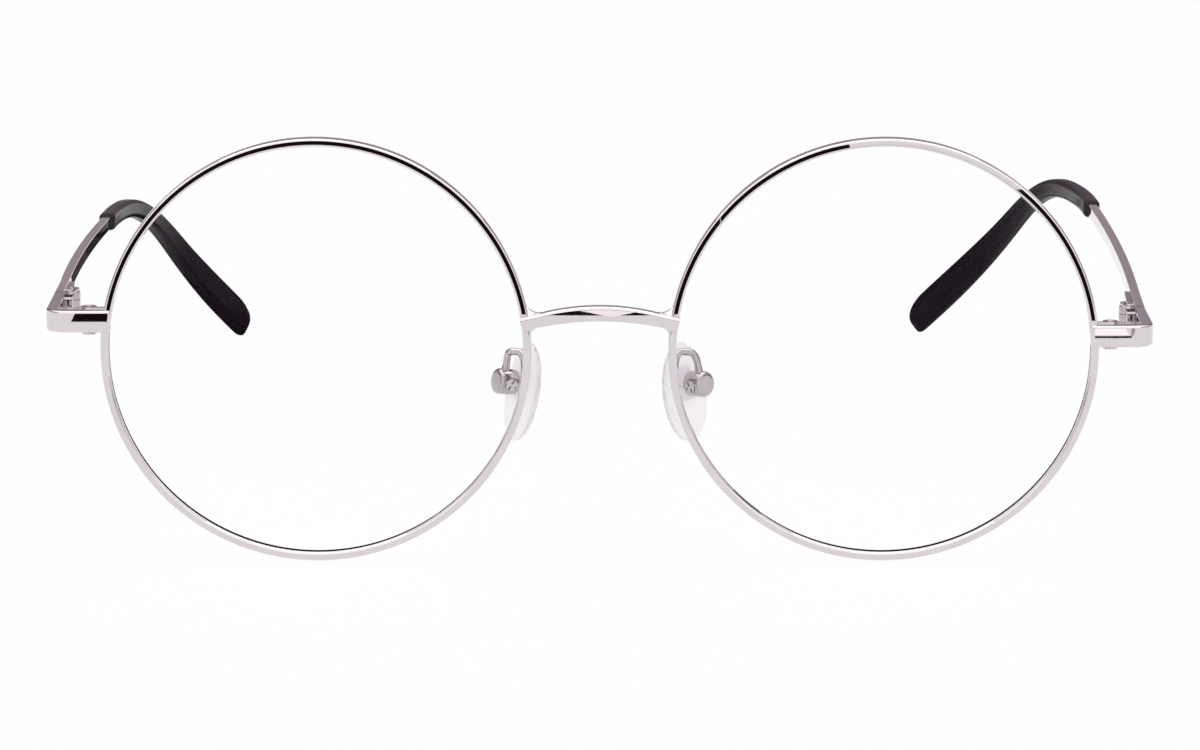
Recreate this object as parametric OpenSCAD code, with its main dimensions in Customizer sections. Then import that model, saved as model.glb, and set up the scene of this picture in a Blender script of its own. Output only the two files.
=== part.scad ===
// Round full-rim metal eyeglasses, standing on a table on the rims and the temple tips.
// Millimetres. X runs to the right as seen from the front, Y to the back, Z up.
// Each side is drawn as the right-hand one and mirrored for the left, so inside a side's
// modules x is the distance from the middle of the bridge and y = 0 is the lens plane.

/* [Lenses] */
// Width of each round lens over the tip of its bevel
lens_w = 52; // [46:1:56]
// Gap between the bevel tips of the two lenses, over the nose
lens_gap = 17.6; // [15:0.1:21]
// Thickness of the lens
lens_t = 1.6; // [1.4:0.1:2.2]
// Radius of the curve of the lens's front
lens_curve = 150; // [90:5:300]

/* [Rims] */
// Thickness of the rim from its inner to its outer edge
rim_h = 1.0; // [0.9:0.05:1.6]
// Depth of the rim from front to back
rim_d = 1.9; // [1.7:0.1:2.6]
// Rounding of the rim's edges
rim_edge = 0.28; // [0.1:0.02:0.4]
// Metal left outside the tip of the lens's bevel
rim_skin = 0.4; // [0.3:0.05:0.6]
// Width of the slit that lets the lens in
rim_slit = 0.25; // [0.15:0.05:0.5]

/* [Bridge] */
// Height of the middle of the bridge above the lens centres
bridge_rise = 4.7; // [2:0.1:9]
// Radius of the bridge's arch
bridge_arc = 32; // [20:1:60]
// Thickness of the bridge from top to bottom
bridge_h = 1.75; // [1.4:0.05:2.4]
// Depth of the bridge from front to back
bridge_d = 1.6; // [1.3:0.1:2.2]
// Rounding between the top of the bridge and the rim
bridge_fillet = 1.6; // [0.8:0.1:2.4]
// Rounding between the bottom of the bridge and the rim
bridge_underfillet = 1.1; // [0.5:0.1:1.6]

/* [End pieces] */
// How far each end piece reaches out beyond the rim, to the outer face of the temple
end_reach = 6.75; // [5.5:0.05:9]
// Height of the left end piece's middle above the lens centres
end_rise_left = 3.75; // [1:0.1:6]
// Height of the right end piece's middle above the lens centres
end_rise_right = 1.9; // [1:0.1:6]
// Height of the end piece's bar
end_h = 2.7; // [2.4:0.1:3.4]
// Thickness of the end piece's bar
end_t = 1.5; // [1.3:0.1:1.7]
// Radius of the end piece's outer corner
end_corner = 2.6; // [1.8:0.1:4]
// How far the bridge and the end pieces stand in front of the rims
front_proud = 0.35; // [0.25:0.05:0.6]
// Crown of the end piece's outer face
end_crown = 0.4; // [0.2:0.05:0.6]

/* [Closing blocks] */
// Radius of the closing block's barrel
block_r = 1.0; // [0.9:0.05:1.2]
// Distance of the barrel from the rim's outermost edge
block_out = 1.5; // [1.1:0.1:2]
// How far the barrel stands out above the end piece
block_above = 0.15; // [0.1:0.05:0.8]
// How far the barrel stands out below the end piece
block_below = 0.15; // [0.1:0.05:0.8]

/* [Hinges] */
// Distance of the hinge axis behind the lens plane
hinge_back = 11; // [8:0.5:14]
// Radius of the hinge's knuckles
knuckle_r = 1.0; // [0.95:0.05:1.2]
// Height of the three knuckles together
hinge_h = 2.9; // [2.7:0.1:3.6]
// Length of the hinge's leaf along the temple
leaf_len = 13; // [9:0.5:16]
// Thickness of the hinge's leaf
leaf_t = 0.75; // [0.6:0.05:0.9]

/* [Screws] */
// Radius of the hinge screw and the closing screw
screw_r = 0.6; // [0.5:0.05:0.65]
// Radius of their heads
screw_head_r = 0.9; // [0.75:0.05:1]
// Height of their heads
screw_head_h = 0.4; // [0.3:0.05:0.6]
// Width of the slots in all the screws
slot_w = 0.25; // [0.15:0.05:0.35]

/* [Temples] */
// Length of the temple from the hinge to the end of its tip, along the bend
temple_len = 138.2; // [130:0.2:150]
// Thickness of the metal temple
temple_t = 1.2; // [1:0.05:1.4]
// Height of the metal temple where the tip starts
temple_h = 1.75; // [1.5:0.05:2.2]
// Length of metal temple that shows between the hinge and the tip
bare_len = 77.5; // [60:0.5:80]
// Angle at which the left temple falls towards the back
fall_angle_left = 2.9; // [0:0.1:6]
// Angle at which the right temple falls towards the back
fall_angle_right = 0.2; // [0:0.1:6]
// Angle at which the left temple spreads outwards
spread_angle_left = 0.45; // [0:0.05:2]
// Angle at which the right temple spreads outwards
spread_angle_right = 0.35; // [0:0.05:2]
// Angle by which the bowed temple leaves its chord at either end, outwards at the hinge
bow_angle = 2.2; // [0:0.1:3]
// Thickness of the wire core inside the tip
core_t = 0.9; // [0.7:0.05:1]
// Height of the wire core inside the tip
core_h = 1.2; // [0.9:0.05:1.4]

/* [Tips] */
// Thickness of the tip
tip_t = 2.3; // [2:0.05:2.8]
// Height of the tip at its mouth
tip_mouth_h = 2.45; // [2.2:0.05:3]
// Height of the tip at its broad end
tip_end_h = 4.3; // [3.6:0.1:6]
// Where the left tip starts to bend down, from the hinge along the temple
bend_at_left = 87; // [80:0.5:98]
// Where the right tip starts to bend down
bend_at_right = 90.7; // [80:0.1:98]
// Length over which the left tip bends down
bend_len_left = 30; // [14:0.5:32]
// Length over which the right tip bends down
bend_len_right = 22; // [14:0.5:32]
// Angle below level of the left tip's end
drop_angle_left = 39.7; // [30:0.1:60]
// Angle below level of the right tip's end
drop_angle_right = 42.5; // [30:0.5:60]
// Where the left tip starts to turn in behind the ear
curl_at_left = 82; // [78:0.5:90]
// Where the right tip starts to turn in
curl_at_right = 80.5; // [78:0.5:90]
// Angle by which the left tip's end turns in behind the ear
curl_angle_left = 37.5; // [0:0.5:80]
// Angle by which the right tip's end turns in behind the ear
curl_angle_right = 57; // [0:1:80]

/* [Nose pads] */
// Height of the nose pad
pad_h = 12.6; // [11:0.5:15]
// Width of the nose pad
pad_w = 7.4; // [6:0.2:9]
// Thickness of the pad's crown, on the side of the nose
pad_crown = 1.5; // [1.2:0.1:2]
// Thickness of the pad's back, on the side of the arm
pad_back = 0.9; // [0.8:0.05:1.1]
// Distance of the left pad's middle from the middle of the bridge
pad_x_left = 9.7; // [8.8:0.1:11]
// Distance of the right pad's middle from the middle of the bridge
pad_x_right = 10.6; // [8.8:0.1:11]
// Distance of the pads' middles behind the lens plane
pad_y = 7; // [6.4:0.1:9]
// Distance of the pads' middles below the lens centres
pad_drop = 6.8; // [5:0.1:9]
// Angle between the left pad's face and the middle plane of the nose
splay_angle_left = 28; // [15:1:45]
// Angle between the right pad's face and the middle plane of the nose
splay_angle_right = 44; // [15:1:45]
// Lean of the left pad, with its top nearer the other pad
lean_angle_left = 11; // [0:1:20]
// Lean of the right pad
lean_angle_right = 8; // [0:1:20]

/* [Pad arms] */
// Radius of the pad arm's wire
arm_r = 0.45; // [0.35:0.05:0.55]
// Distance of the arm's foot on the rim below the lens centres
arm_foot_drop = 4.8; // [3:0.1:6]
// Height of the arm's bow above its foot
arm_bow = 3.6; // [2.6:0.1:5]
// Radius of the pad box
box_r = 1.6; // [1.4:0.05:1.8]
// Length of the pad box
box_len = 2.7; // [2.2:0.1:3]
// Height of the pad box's middle above the pad's middle
box_rise = 1.2; // [0:0.1:2]
// Radius of the pad screw
pad_screw_r = 0.4; // [0.3:0.05:0.45]

/* [Hidden] */
$fn = 96;

LEFT = 0;
RIGHT = 1;
silver = [0.80, 0.77, 0.77];
bright = [0.88, 0.86, 0.86];
black = [0.10, 0.09, 0.10];
clear = [0.86, 0.93, 0.96, 0.35];
silicone = [0.90, 0.90, 0.94, 0.6];

// Clearances: round the lens in its groove, of a screw in its thread, of a turning fit,
// between faces of pieces that move, and of the core in its tip.
lens_fit = 0.05;
thread_fit = 0.02;
turn_fit = 0.05;
face_gap = 0.05;
core_fit = 0.06;
// Cuts run this far past what they cut.
past = 1;
// The fillets of the bridge stand this far proud of the faces that they run into.
fillet_step = 0.02;

lens_r = lens_w / 2;
rim_out = lens_r + rim_skin;
rim_in = rim_out - rim_h;
lens_body_r = rim_in - lens_fit;
lens_x = lens_r + lens_gap / 2;
lens_z = rim_out;
rim_front = -rim_d / 2;
proud_y = rim_front - front_proud;

// Lens bevel and rim groove share their flank: half width over height
bevel_flank = 0.9;
lens_centre_y = lens_t / 2 - sqrt(pow(lens_curve, 2) - pow(lens_body_r, 2));
lens_top_y = lens_centre_y + lens_curve;

front_x = lens_x + rim_out + end_reach;
bar_back = proud_y + end_t;
corner_x = front_x - end_corner;
corner_y = proud_y + end_corner;
block_x = lens_x + rim_out + block_out;
block_y = bar_back + block_r;

// What stays free behind the lenses' fronts
view_depth = rim_d + 2 * (block_r + past);

hinge_x = front_x - temple_t - knuckle_r - face_gap;
knuckle_h = (hinge_h - 2 * face_gap) / 3;
taper_len = leaf_len + 1;

// The temple keeps the end piece's height this far and stays straight along the hinge's leaf.
full_len = 2;
taper_h = temple_h + 0.2;
// The temple's front face is square to the temple, so it starts clear of the end piece's face.
temple_start = 2.5 * face_gap;
// An odd number of steps, so that the middle of the bow is a flat.
strip_steps = 7;
// The plate under the front hinge's knuckles, and how deep the knuckles sit in it
hinge_plate_len = 3.4;
knuckle_root = 0.3 * knuckle_r;
// The closing screw and the pad screw stop this far short of the far side.
screw_short = 0.15;

// The tip: swell behind its mouth, rounding of its mouth and its end, and how much of the
// end's rounding is taken from above; the core stops short of the end.
tip_len = temple_len - bare_len;
tip_swell = 0.15;
mouth_round = 0.5;
end_round = 3.5;
end_thinning = 1.4;
end_from_above = 0.9;
core_stop = 9;
tip_steps = 30;
core_steps = 24;
tip_sides = 20;
// Powers of the sections: 1 is an ellipse, 0 a rectangle
tip_power = 0.62;
core_power = 0.6;

// The pad's insert: a plate in the pad and a stem that hangs on the pad screw
box_gap = 0.35;
pad_screw_x = -(pad_back + box_gap + box_len / 2);
stem_r = 0.6;
stem_t = 1.0;
plate_t = 0.6;
plate_w = 2.2;
plate_h = 4.4;
insert_fit = 0.01;
// The pad box: rounding of its back, slot for the stem, and the screw's head sunk in its side
box_round = 0.5;
slot_play = 0.45;
pad_head_over = 0.35;
pad_head_h = 0.4;
pad_head_sink = 0.3;
pad_sides = 24;

// The pad arm: how far its bow stands out from its foot, and the pull of its two curves
arm_steps = 12;
arm_sides = 12;
arm_out = 0.9;
arm_back = 3.9;
arm_foot_pull = 2.6;
arm_top_pull = [1.35, 0.4, 0];
arm_seat_pull = 2.2;
arm_seat_back = 0.3;

function pick(side, l, r) = side == LEFT ? l : r;
function end_z(side) = lens_z + pick(side, end_rise_left, end_rise_right);
function fall(side) = pick(side, fall_angle_left, fall_angle_right);
function spread(side) = pick(side, spread_angle_left, spread_angle_right);
function smooth(a) = let (b = min(max(a, 0), 1)) b * b * (3 - 2 * b);
function ramp(a) = min(max(a, 0), 1);
function mix(a, b, f) = a + (b - a) * f;

// Direction of the temple at a length from the hinge: pitch below level, then turn inwards
function pitch(side, l) = mix(
    fall(side), pick(side, drop_angle_left, drop_angle_right),
    smooth((l - pick(side, bend_at_left, bend_at_right)) / pick(side, bend_len_left, bend_len_right)));
function bow(l) = bow_angle * (2 * ramp((l - taper_len) / (bare_len - taper_len)) - 1);
function turn(side, l) = let (start = pick(side, curl_at_left, curl_at_right))
    pick(side, curl_angle_left, curl_angle_right) * ramp((l - start) / (temple_len - start))
        + bow(l) - spread(side);
function heading(side, l) = let (p = pitch(side, l), t = turn(side, l))
    [-sin(t) * cos(p), cos(t) * cos(p), -sin(p)];

// Outwards, square to the temple and level
function outward(side, l) = [cos(turn(side, l)), sin(turn(side, l)), 0];

// The middle of the temple where its bow starts, then points added up in equal steps
function straight_end(side) = [front_x, hinge_back, end_z(side)]
    - outward(side, 0) * temple_t / 2 + heading(side, 0) * taper_len;
function steps_from(side, p0, l0, len, steps) = [
    for (i = 0, p = p0; i <= steps;
         p = p + heading(side, l0 + len * (i + 0.5) / steps) * len / steps, i = i + 1) p];
function strip_route(side) =
    steps_from(side, straight_end(side), taper_len, bare_len - taper_len, strip_steps);
function route(side, len, steps) =
    steps_from(side, strip_route(side)[strip_steps], bare_len, len, steps);

// The frame's origin is under the middle of its depth
reach = max([for (s = [LEFT, RIGHT]) route(s, tip_len, tip_steps)[tip_steps][1]]);
lens_y = -(reach + tip_t / 2 - lens_top_y) / 2;

// A ring of points round p, upright, where t is the direction of the sweep
function ring(p, t, outline) = let (
    n = [t[1], -t[0], 0] / norm([t[0], t[1]]),
    h = cross(n, t))
    [for (q = outline) p + n * q[0] + h * q[1]];

function squarish(w, h, n, power) = [for (i = [0 : n - 1])
    let (a = 360 * (i + 0.5) / n, c = cos(a), s = sin(a))
    [w / 2 * sign(c) * pow(abs(c), power), h / 2 * sign(s) * pow(abs(s), power)]];

// Side walls of a stack of rings that starts at point number first
function walls(first, rings, n) = [for (k = [0 : rings - 2], i = [0 : n - 1])
    let (a = first + k * n + i, b = first + k * n + (i + 1) % n)
    each [[a, b, b + n], [a, b + n, a + n]]];
function flip(faces) = [for (f = faces) [f[2], f[1], f[0]]];
function cap(first, n) = [for (i = [0 : n - 1]) first + i];
function cap_back(first, n) = [for (i = [n - 1 : -1 : 0]) first + i];

module skin(rings) {
    n = len(rings[0]);
    m = len(rings);
    polyhedron(
        points = [for (r = rings) each r],
        faces = concat(walls(0, m, n), [cap_back(0, n), cap((m - 1) * n, n)]),
        convexity = 6);
}

// A sleeve: an outer stack and an inner stack that share the face at the mouth
module sleeve(outer, inner) {
    n = len(outer[0]);
    mo = len(outer);
    mi = len(inner);
    base = mo * n;
    mouth = [for (i = [0 : n - 1]) let (j = (i + 1) % n)
        each [[j, i, base + i], [j, base + i, base + j]]];
    polyhedron(
        points = concat([for (r = outer) each r], [for (r = inner) each r]),
        faces = concat(
            walls(0, mo, n), [cap((mo - 1) * n, n)],
            flip(walls(base, mi, n)), [cap_back(base + (mi - 1) * n, n)],
            mouth),
        convexity = 8);
}

// One side, in the frame
module on(side) {
    translate([0, lens_y, 0])
        if (side == LEFT)
            mirror([1, 0, 0]) children();
        else
            children();
}

// Along the open temple: x = 0 is its outer face, y runs back from the hinge
module along(side) {
    translate([front_x, hinge_back, end_z(side)])
        rotate([-fall(side), 0, turn(side, 0)])
            children();
}

// Turned round the lens's axis: the profile's x is the radius, its y points to the front
module around_lens() {
    translate([lens_x, 0, lens_z])
        rotate([90, 0, 0])
            rotate_extrude($fn = 240)
                children();
}

module rounded_slab(w, h, r) {
    union() {
        translate([r, 0]) square([w - 2 * r, h]);
        translate([0, r]) square([w, h - 2 * r]);
        for (x = [r, w - r], y = [r, h - r])
            translate([x, y]) circle(r, $fn = 32);
    }
}

// A bar's section: flat inner side at x = 0 and a crowned outer side that reaches x = t
module crowned(t, h, crown) {
    r = (pow(h / 2, 2) + pow(crown, 2)) / (2 * crown);
    intersection() {
        translate([0, -h / 2]) square([t, h]);
        translate([t - r, 0]) circle(r, $fn = 120);
    }
}

// What stays free for the lens and the rim: the rim's ring, and the view through it
module lens_space() {
    translate([lens_x, rim_front, lens_z])
        rotate([-90, 0, 0])
            cylinder(r = rim_out, h = view_depth, $fn = 240);
    translate([lens_x, proud_y - past, lens_z])
        rotate([-90, 0, 0])
            cylinder(r = rim_in, h = view_depth, $fn = 240);
}

module slotted_screw(r, length, head_r, head_h) {
    difference() {
        union() {
            translate([0, 0, -length]) cylinder(r = r, h = length);
            cylinder(r = head_r, h = head_h);
        }
        translate([-head_r - past, -slot_w / 2, head_h * 0.45])
            cube([2 * (head_r + past), slot_w, head_h]);
    }
}

module rim(side) {
    slit_z = end_z(side) + (block_above - block_below) / 2;
    groove = rim_h - rim_skin + lens_fit;
    difference() {
        around_lens()
            difference() {
                translate([rim_in, -rim_d / 2]) rounded_slab(rim_h, rim_d, rim_edge);
                polygon([
                    [rim_in - past, bevel_flank * (groove + past)],
                    [rim_in + groove, 0],
                    [rim_in - past, -bevel_flank * (groove + past)]]);
            }
        translate([lens_x + rim_in - 2, -rim_d, slit_z - rim_slit / 2])
            cube([rim_h + 4, 2 * rim_d, rim_slit]);
    }
}

// A meniscus whose edge steps in to a bevel
module lens() {
    bevel_w = bevel_flank * (lens_r - lens_body_r);
    top = lens_top_y + past;
    around_lens()
        difference() {
            intersection() {
                polygon([
                    [0, top], [lens_body_r, top], [lens_body_r, bevel_w], [lens_r, 0],
                    [lens_body_r, -bevel_w], [lens_body_r, -lens_t * 2], [0, -lens_t * 2]]);
                translate([0, lens_centre_y]) circle(lens_curve, $fn = 720);
            }
            translate([0, lens_centre_y]) circle(lens_curve - lens_t, $fn = 720);
        }
}

// Where circles of radius r0 round p0 and r1 round p1 cross, on the upper or the lower side
function crossing(p0, r0, p1, r1, upper) = let (
    d = norm(p1 - p0),
    u = (p1 - p0) / d,
    a = (r0 * r0 - r1 * r1 + d * d) / (2 * d),
    b = sqrt(max(r0 * r0 - a * a, 0)),
    w = (upper ? 1 : -1) * [-u[1], u[0]])
    p0 + u * a + w * b;

// Front view of the metal between the bridge's edge, an arc of radius edge_r, and the rim.
// outside is 1 above the bridge and -1 below it.
module corner_fillet(edge_r, r, outside) {
    arch = [0, lens_z + bridge_rise - bridge_arc];
    eye = [lens_x, lens_z];
    hub = crossing(arch, edge_r + outside * r, eye, rim_out + r, true);
    corner = crossing(arch, edge_r, eye, rim_out, true);
    sink = 0.3;
    in_edge = hub - outside * (hub - arch) / norm(hub - arch) * (r + sink);
    in_rim = hub + (eye - hub) / norm(eye - hub) * (r + sink);
    difference() {
        polygon([hub, in_edge, corner + [sink, -outside * sink], in_rim]);
        translate(hub) circle(r - fillet_step, $fn = 64);
    }
}

module bridge() {
    foot_x = lens_x - rim_in + past;
    half = asin(foot_x / bridge_arc);
    crown = bridge_h * 0.32;
    color(silver)
        translate([0, lens_y, 0])
            difference() {
                union() {
                    translate([0, 0, lens_z + bridge_rise - bridge_arc])
                        rotate([90, 0, 0])
                            rotate([0, 0, 90 - half])
                                rotate_extrude(angle = 2 * half, $fn = 240)
                                    translate([bridge_arc, -proud_y - bridge_d])
                                        rotate([0, 0, 90])
                                            crowned(bridge_d, bridge_h, crown);
                    for (s = [LEFT, RIGHT])
                        mirror([s == LEFT ? 1 : 0, 0, 0])
                            translate([0, proud_y + bridge_d, 0])
                                rotate([90, 0, 0])
                                    linear_extrude((bridge_d - crown) * 0.92) {
                                        corner_fillet(bridge_arc + bridge_h / 2, bridge_fillet, 1);
                                        corner_fillet(bridge_arc - bridge_h / 2, bridge_underfillet, -1);
                                    }
                }
                lens_space();
                mirror([1, 0, 0]) lens_space();
            }
}

// The bar that leaves the rim, turns the corner and runs back to the hinge
module end_piece(side) {
    inner_x = lens_x + rim_in - past;
    difference() {
        translate([0, 0, end_z(side)]) {
            translate([corner_x, bar_back, 0])
                rotate([90, 0, -90])
                    linear_extrude(corner_x - inner_x)
                        crowned(end_t, end_h, end_crown);
            translate([corner_x, corner_y, 0])
                rotate([0, 0, -90])
                    rotate_extrude(angle = 90, $fn = 120)
                        translate([end_corner - end_t, 0])
                            crowned(end_t, end_h, end_crown);
            translate([front_x - end_t, hinge_back - face_gap / 2, 0])
                rotate([90, 0, 0])
                    linear_extrude(hinge_back - face_gap / 2 - corner_y)
                        crowned(end_t, end_h, end_crown);
        }
        lens_space();
        translate([hinge_x, hinge_back, end_z(side) - end_h])
            cylinder(r = knuckle_r + face_gap, h = 2 * end_h);
    }
}

// One half of the block that closes the rim, from height low to height high
module closing_block(side, low, high, bore_r) {
    rim_edge_x = lens_x + sqrt(pow(rim_out, 2) - pow(end_z(side) - lens_z + end_h / 2, 2));
    difference() {
        union() {
            translate([block_x, block_y, low]) cylinder(r = block_r, h = high - low);
            translate([rim_edge_x - past, bar_back, low])
                cube([block_x - rim_edge_x + past, rim_d / 2 - bar_back, high - low]);
        }
        translate([block_x, block_y, low - past]) cylinder(r = bore_r, h = high - low + 2 * past);
        lens_space();
    }
}

function block_top(side) = end_z(side) + end_h / 2 + block_above;
function block_bottom(side) = end_z(side) - end_h / 2 - block_below;
function block_middle(side) = (block_top(side) + block_bottom(side)) / 2;

module closing_block_upper(side) {
    closing_block(side, block_middle(side) + rim_slit / 2, block_top(side), screw_r + thread_fit);
}

module closing_block_lower(side) {
    closing_block(side, block_bottom(side), block_middle(side) - rim_slit / 2, screw_r + turn_fit);
}

module closing_screw(side) {
    translate([block_x, block_y, block_bottom(side)])
        rotate([180, 0, 30])
            slotted_screw(
                screw_r, block_top(side) - block_bottom(side) - screw_short, screw_head_r, screw_head_h);
}

// The upper and lower knuckles, on a pad against the inner face of the end piece
module front_hinge(side) {
    inner_x = front_x - end_t;
    root_x = hinge_x - knuckle_root;
    translate([0, 0, end_z(side)])
        difference() {
            union() {
                for (z = [-hinge_h / 2, hinge_h / 2 - knuckle_h])
                    translate([hinge_x, hinge_back, z]) cylinder(r = knuckle_r, h = knuckle_h);
                translate([root_x, hinge_back - hinge_plate_len, -end_h / 2])
                    cube([inner_x - root_x, hinge_plate_len - face_gap, end_h]);
            }
            translate([hinge_x, hinge_back, -hinge_h])
                cylinder(r = screw_r + thread_fit, h = 2 * hinge_h);
            translate([hinge_x, hinge_back, -knuckle_h / 2 - face_gap])
                cylinder(r = knuckle_r + face_gap, h = knuckle_h + 2 * face_gap);
            translate([inner_x, hinge_back - face_gap, -hinge_h])
                cube([knuckle_r * 2, knuckle_r * 2, 2 * hinge_h]);
        }
}

module hinge_screw(side) {
    translate([hinge_x, hinge_back, end_z(side) + hinge_h / 2])
        rotate([0, 0, 65])
            slotted_screw(screw_r, hinge_h, screw_head_r, screw_head_h);
}

// The middle knuckle and the leaf that is fixed to the temple's inner face
module temple_hinge(side) {
    leaf_h = (temple_h + taper_h) / 2;
    leaf_x = -temple_t - leaf_t;
    start = knuckle_r + 3 * face_gap;
    difference() {
        union() {
            translate([hinge_x, hinge_back, end_z(side) - knuckle_h / 2])
                cylinder(r = knuckle_r, h = knuckle_h);
            along(side) {
                translate([leaf_x, face_gap, -knuckle_h / 2])
                    cube([leaf_t, start + past, knuckle_h]);
                translate([leaf_x, start, -leaf_h / 2])
                    cube([leaf_t, leaf_len - start - leaf_h / 2, leaf_h]);
                translate([leaf_x, leaf_len - leaf_h / 2, 0])
                    rotate([0, 90, 0])
                        cylinder(r = leaf_h / 2, h = leaf_t);
            }
        }
        translate([hinge_x, hinge_back, end_z(side) - hinge_h])
            cylinder(r = screw_r + turn_fit, h = 2 * hinge_h);
    }
}

// The flat strip from the hinge to the tip, and the wire core that runs on inside the tip
module temple(side) {
    core = squarish(core_t, core_h, tip_sides, core_power);
    core_len = tip_len - core_stop;
    points = route(side, core_len, core_steps);
    strip = strip_route(side);
    first = heading(side, 0);
    function bar(h) = [[temple_t, -h] / 2, [temple_t, h] / 2, [-temple_t, h] / 2, [-temple_t, -h] / 2];
    union() {
        skin(concat(
            [for (q = [[temple_start, end_h], [full_len, end_h]])
                ring(strip[0] + first * (q[0] - taper_len), first, bar(q[1]))],
            [for (i = [0 : strip_steps])
                ring(strip[i], heading(side, taper_len + (bare_len - taper_len) * i / strip_steps),
                    bar(mix(taper_h, temple_h, i / strip_steps)))]));
        skin(concat(
            [ring(points[0] - heading(side, bare_len) * past, heading(side, bare_len), core)],
            [for (i = [0 : core_steps])
                ring(points[i], heading(side, bare_len + core_len * i / core_steps), core)]));
    }
}

// Height and thickness of the tip along its length, from 0 at the mouth to 1 at the end
function tip_height(a) = tip_mouth_h + tip_swell * ramp(a / 0.35)
    + (tip_end_h - tip_mouth_h - tip_swell) * smooth((a - 0.4) / 0.5);
function tip_section(w, h) = squarish(w, h, tip_sides, tip_power);
function rounding(from_end) = from_end >= end_round ? 1
    : sqrt(max(1 - pow(1 - from_end / end_round, 2), 0.01));

module temple_tip(side) {
    core_len = tip_len - core_stop;
    points = route(side, tip_len, tip_steps);
    inner = route(side, core_len, core_steps);
    bore = squarish(core_t + 2 * core_fit, core_h + 2 * core_fit, tip_sides, core_power);
    lip = heading(side, bare_len);
    mouth = points[0] + lip * face_gap;
    last = heading(side, temple_len);
    end_rings = [for (b = [1, 0.8, 0.6, 0.42, 0.26, 0.13, 0.04, 0]) b * end_round];
    body = [for (i = [1 : tip_steps]) if (tip_len * (1 - i / tip_steps) > end_round * 1.2) i];
    sleeve(
        outer = concat(
            [ring(mouth, lip, tip_section(tip_t - mouth_round, tip_mouth_h - mouth_round))],
            [ring(mouth + lip * mouth_round * 0.3, lip,
                tip_section(tip_t - mouth_round * 0.3, tip_mouth_h - mouth_round * 0.3))],
            [ring(mouth + lip * mouth_round, lip, tip_section(tip_t, tip_mouth_h))],
            [for (i = body) let (a = i / tip_steps)
                ring(points[i], heading(side, bare_len + tip_len * a),
                    tip_section(tip_t, tip_height(a)))],
            [for (e = end_rings) let (h = tip_height(1 - e / tip_len), low = h * (1 - rounding(e)) / 2)
                ring(points[tip_steps] - last * e, last,
                    [for (q = tip_section(tip_t * rounding(e * end_thinning), h * rounding(e)))
                        q - [0, low * end_from_above]])]),
        inner = concat(
            [ring(mouth, lip, bore)],
            [for (i = [1 : core_steps])
                ring(inner[i], heading(side, bare_len + core_len * i / core_steps), bore)],
            [ring(inner[core_steps] + heading(side, bare_len + core_len) * core_fit,
                heading(side, bare_len + core_len), bore)]));
}

// The nose pad's own frame: x points into the nose, y to the pad's front edge, z up
module pad_frame(side) {
    translate(pad_at(side))
        rotate([0, -pick(side, lean_angle_left, lean_angle_right), 0])
            rotate([0, 0, 180 - pick(side, splay_angle_left, splay_angle_right)])
                children();
}
function pad_at(side) = [pick(side, pad_x_left, pad_x_right), pad_y, lens_z - pad_drop];
function pad_turned(side, v) = let (
    a = 180 - pick(side, splay_angle_left, splay_angle_right),
    b = -pick(side, lean_angle_left, lean_angle_right),
    x = v[0] * cos(a) - v[1] * sin(a),
    y = v[0] * sin(a) + v[1] * cos(a))
    [x * cos(b) + v[2] * sin(b), y, -x * sin(b) + v[2] * cos(b)];

function between(a, b, c, d, t) = a * pow(1 - t, 3) + b * 3 * t * pow(1 - t, 2)
    + c * 3 * t * t * (1 - t) + d * t * t * t;
function slope(a, b, c, d, t) = let (v = (b - a) * pow(1 - t, 2) + (c - b) * 2 * t * (1 - t)
    + (d - c) * t * t) v / norm(v);

// Rings across a wire, where the first ring lies in the plane y = constant
function wire_ring(p, t) = let (
    side_way = cross(t, [1, 0.3, 0]),
    u = side_way / norm(side_way),
    w = cross(u, t))
    [for (i = [0 : arm_sides - 1]) let (a = 360 * i / arm_sides) p + arm_r * (u * sin(a) + w * cos(a))];

// The bent wire from the back of the rim, up over a bow and down onto the pad box
module pad_arm(side) {
    foot_x = lens_x - sqrt(pow((rim_in + rim_out) / 2, 2) - pow(arm_foot_drop, 2));
    foot = [foot_x, rim_d / 2, lens_z - arm_foot_drop];
    leave = foot + [0, arm_foot_pull, 0];
    top = foot + [arm_out, arm_back, arm_bow];
    seat = pad_at(side) + pad_turned(side, [pad_screw_x - arm_seat_back, 0, box_rise + box_r + face_gap]);
    above = seat + pad_turned(side, [0, 0, arm_seat_pull]);
    before = top - arm_top_pull;
    after = top + arm_top_pull;
    skin(concat(
        [for (i = [0 : arm_steps]) let (t = i / arm_steps)
            wire_ring(between(foot, leave, before, top, t), slope(foot, leave, before, top, t))],
        [for (i = [1 : arm_steps]) let (t = i / arm_steps)
            wire_ring(between(top, after, above, seat, t), slope(top, after, above, seat, t))]));
}

// The round metal box that holds the pad's stem, open towards the pad
module pad_box(side) {
    edge = box_round;
    slot_h = 2 * (stem_r + slot_play);
    slot_y = stem_t + 2 * face_gap;
    pad_frame(side)
        translate([pad_screw_x, 0, box_rise])
            difference() {
                translate([box_len / 2, 0, 0])
                    rotate([0, -90, 0])
                        rotate_extrude()
                            union() {
                                square([box_r - edge, box_len]);
                                square([box_r - edge / 2, box_len / 2]);
                                translate([0, edge / 2]) square([box_r, box_len - edge * 1.5]);
                                translate([box_r - edge, box_len - edge]) circle(edge, $fn = 32);
                                translate([box_r - edge / 2, edge / 2]) circle(edge / 2, $fn = 32);
                            }
                translate([-stem_r - 3 * face_gap, -slot_y / 2, -slot_h / 2])
                    cube([box_len, slot_y, slot_h]);
                translate([0, box_r + past, 0])
                    rotate([90, 0, 0])
                        cylinder(r = pad_screw_r + thread_fit, h = 2 * (box_r + past));
                translate([0, box_r - pad_head_sink, 0])
                    rotate([-90, 0, 0])
                        cylinder(r = pad_screw_r + pad_head_over + turn_fit, h = pad_head_sink + past);
            }
}

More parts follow.
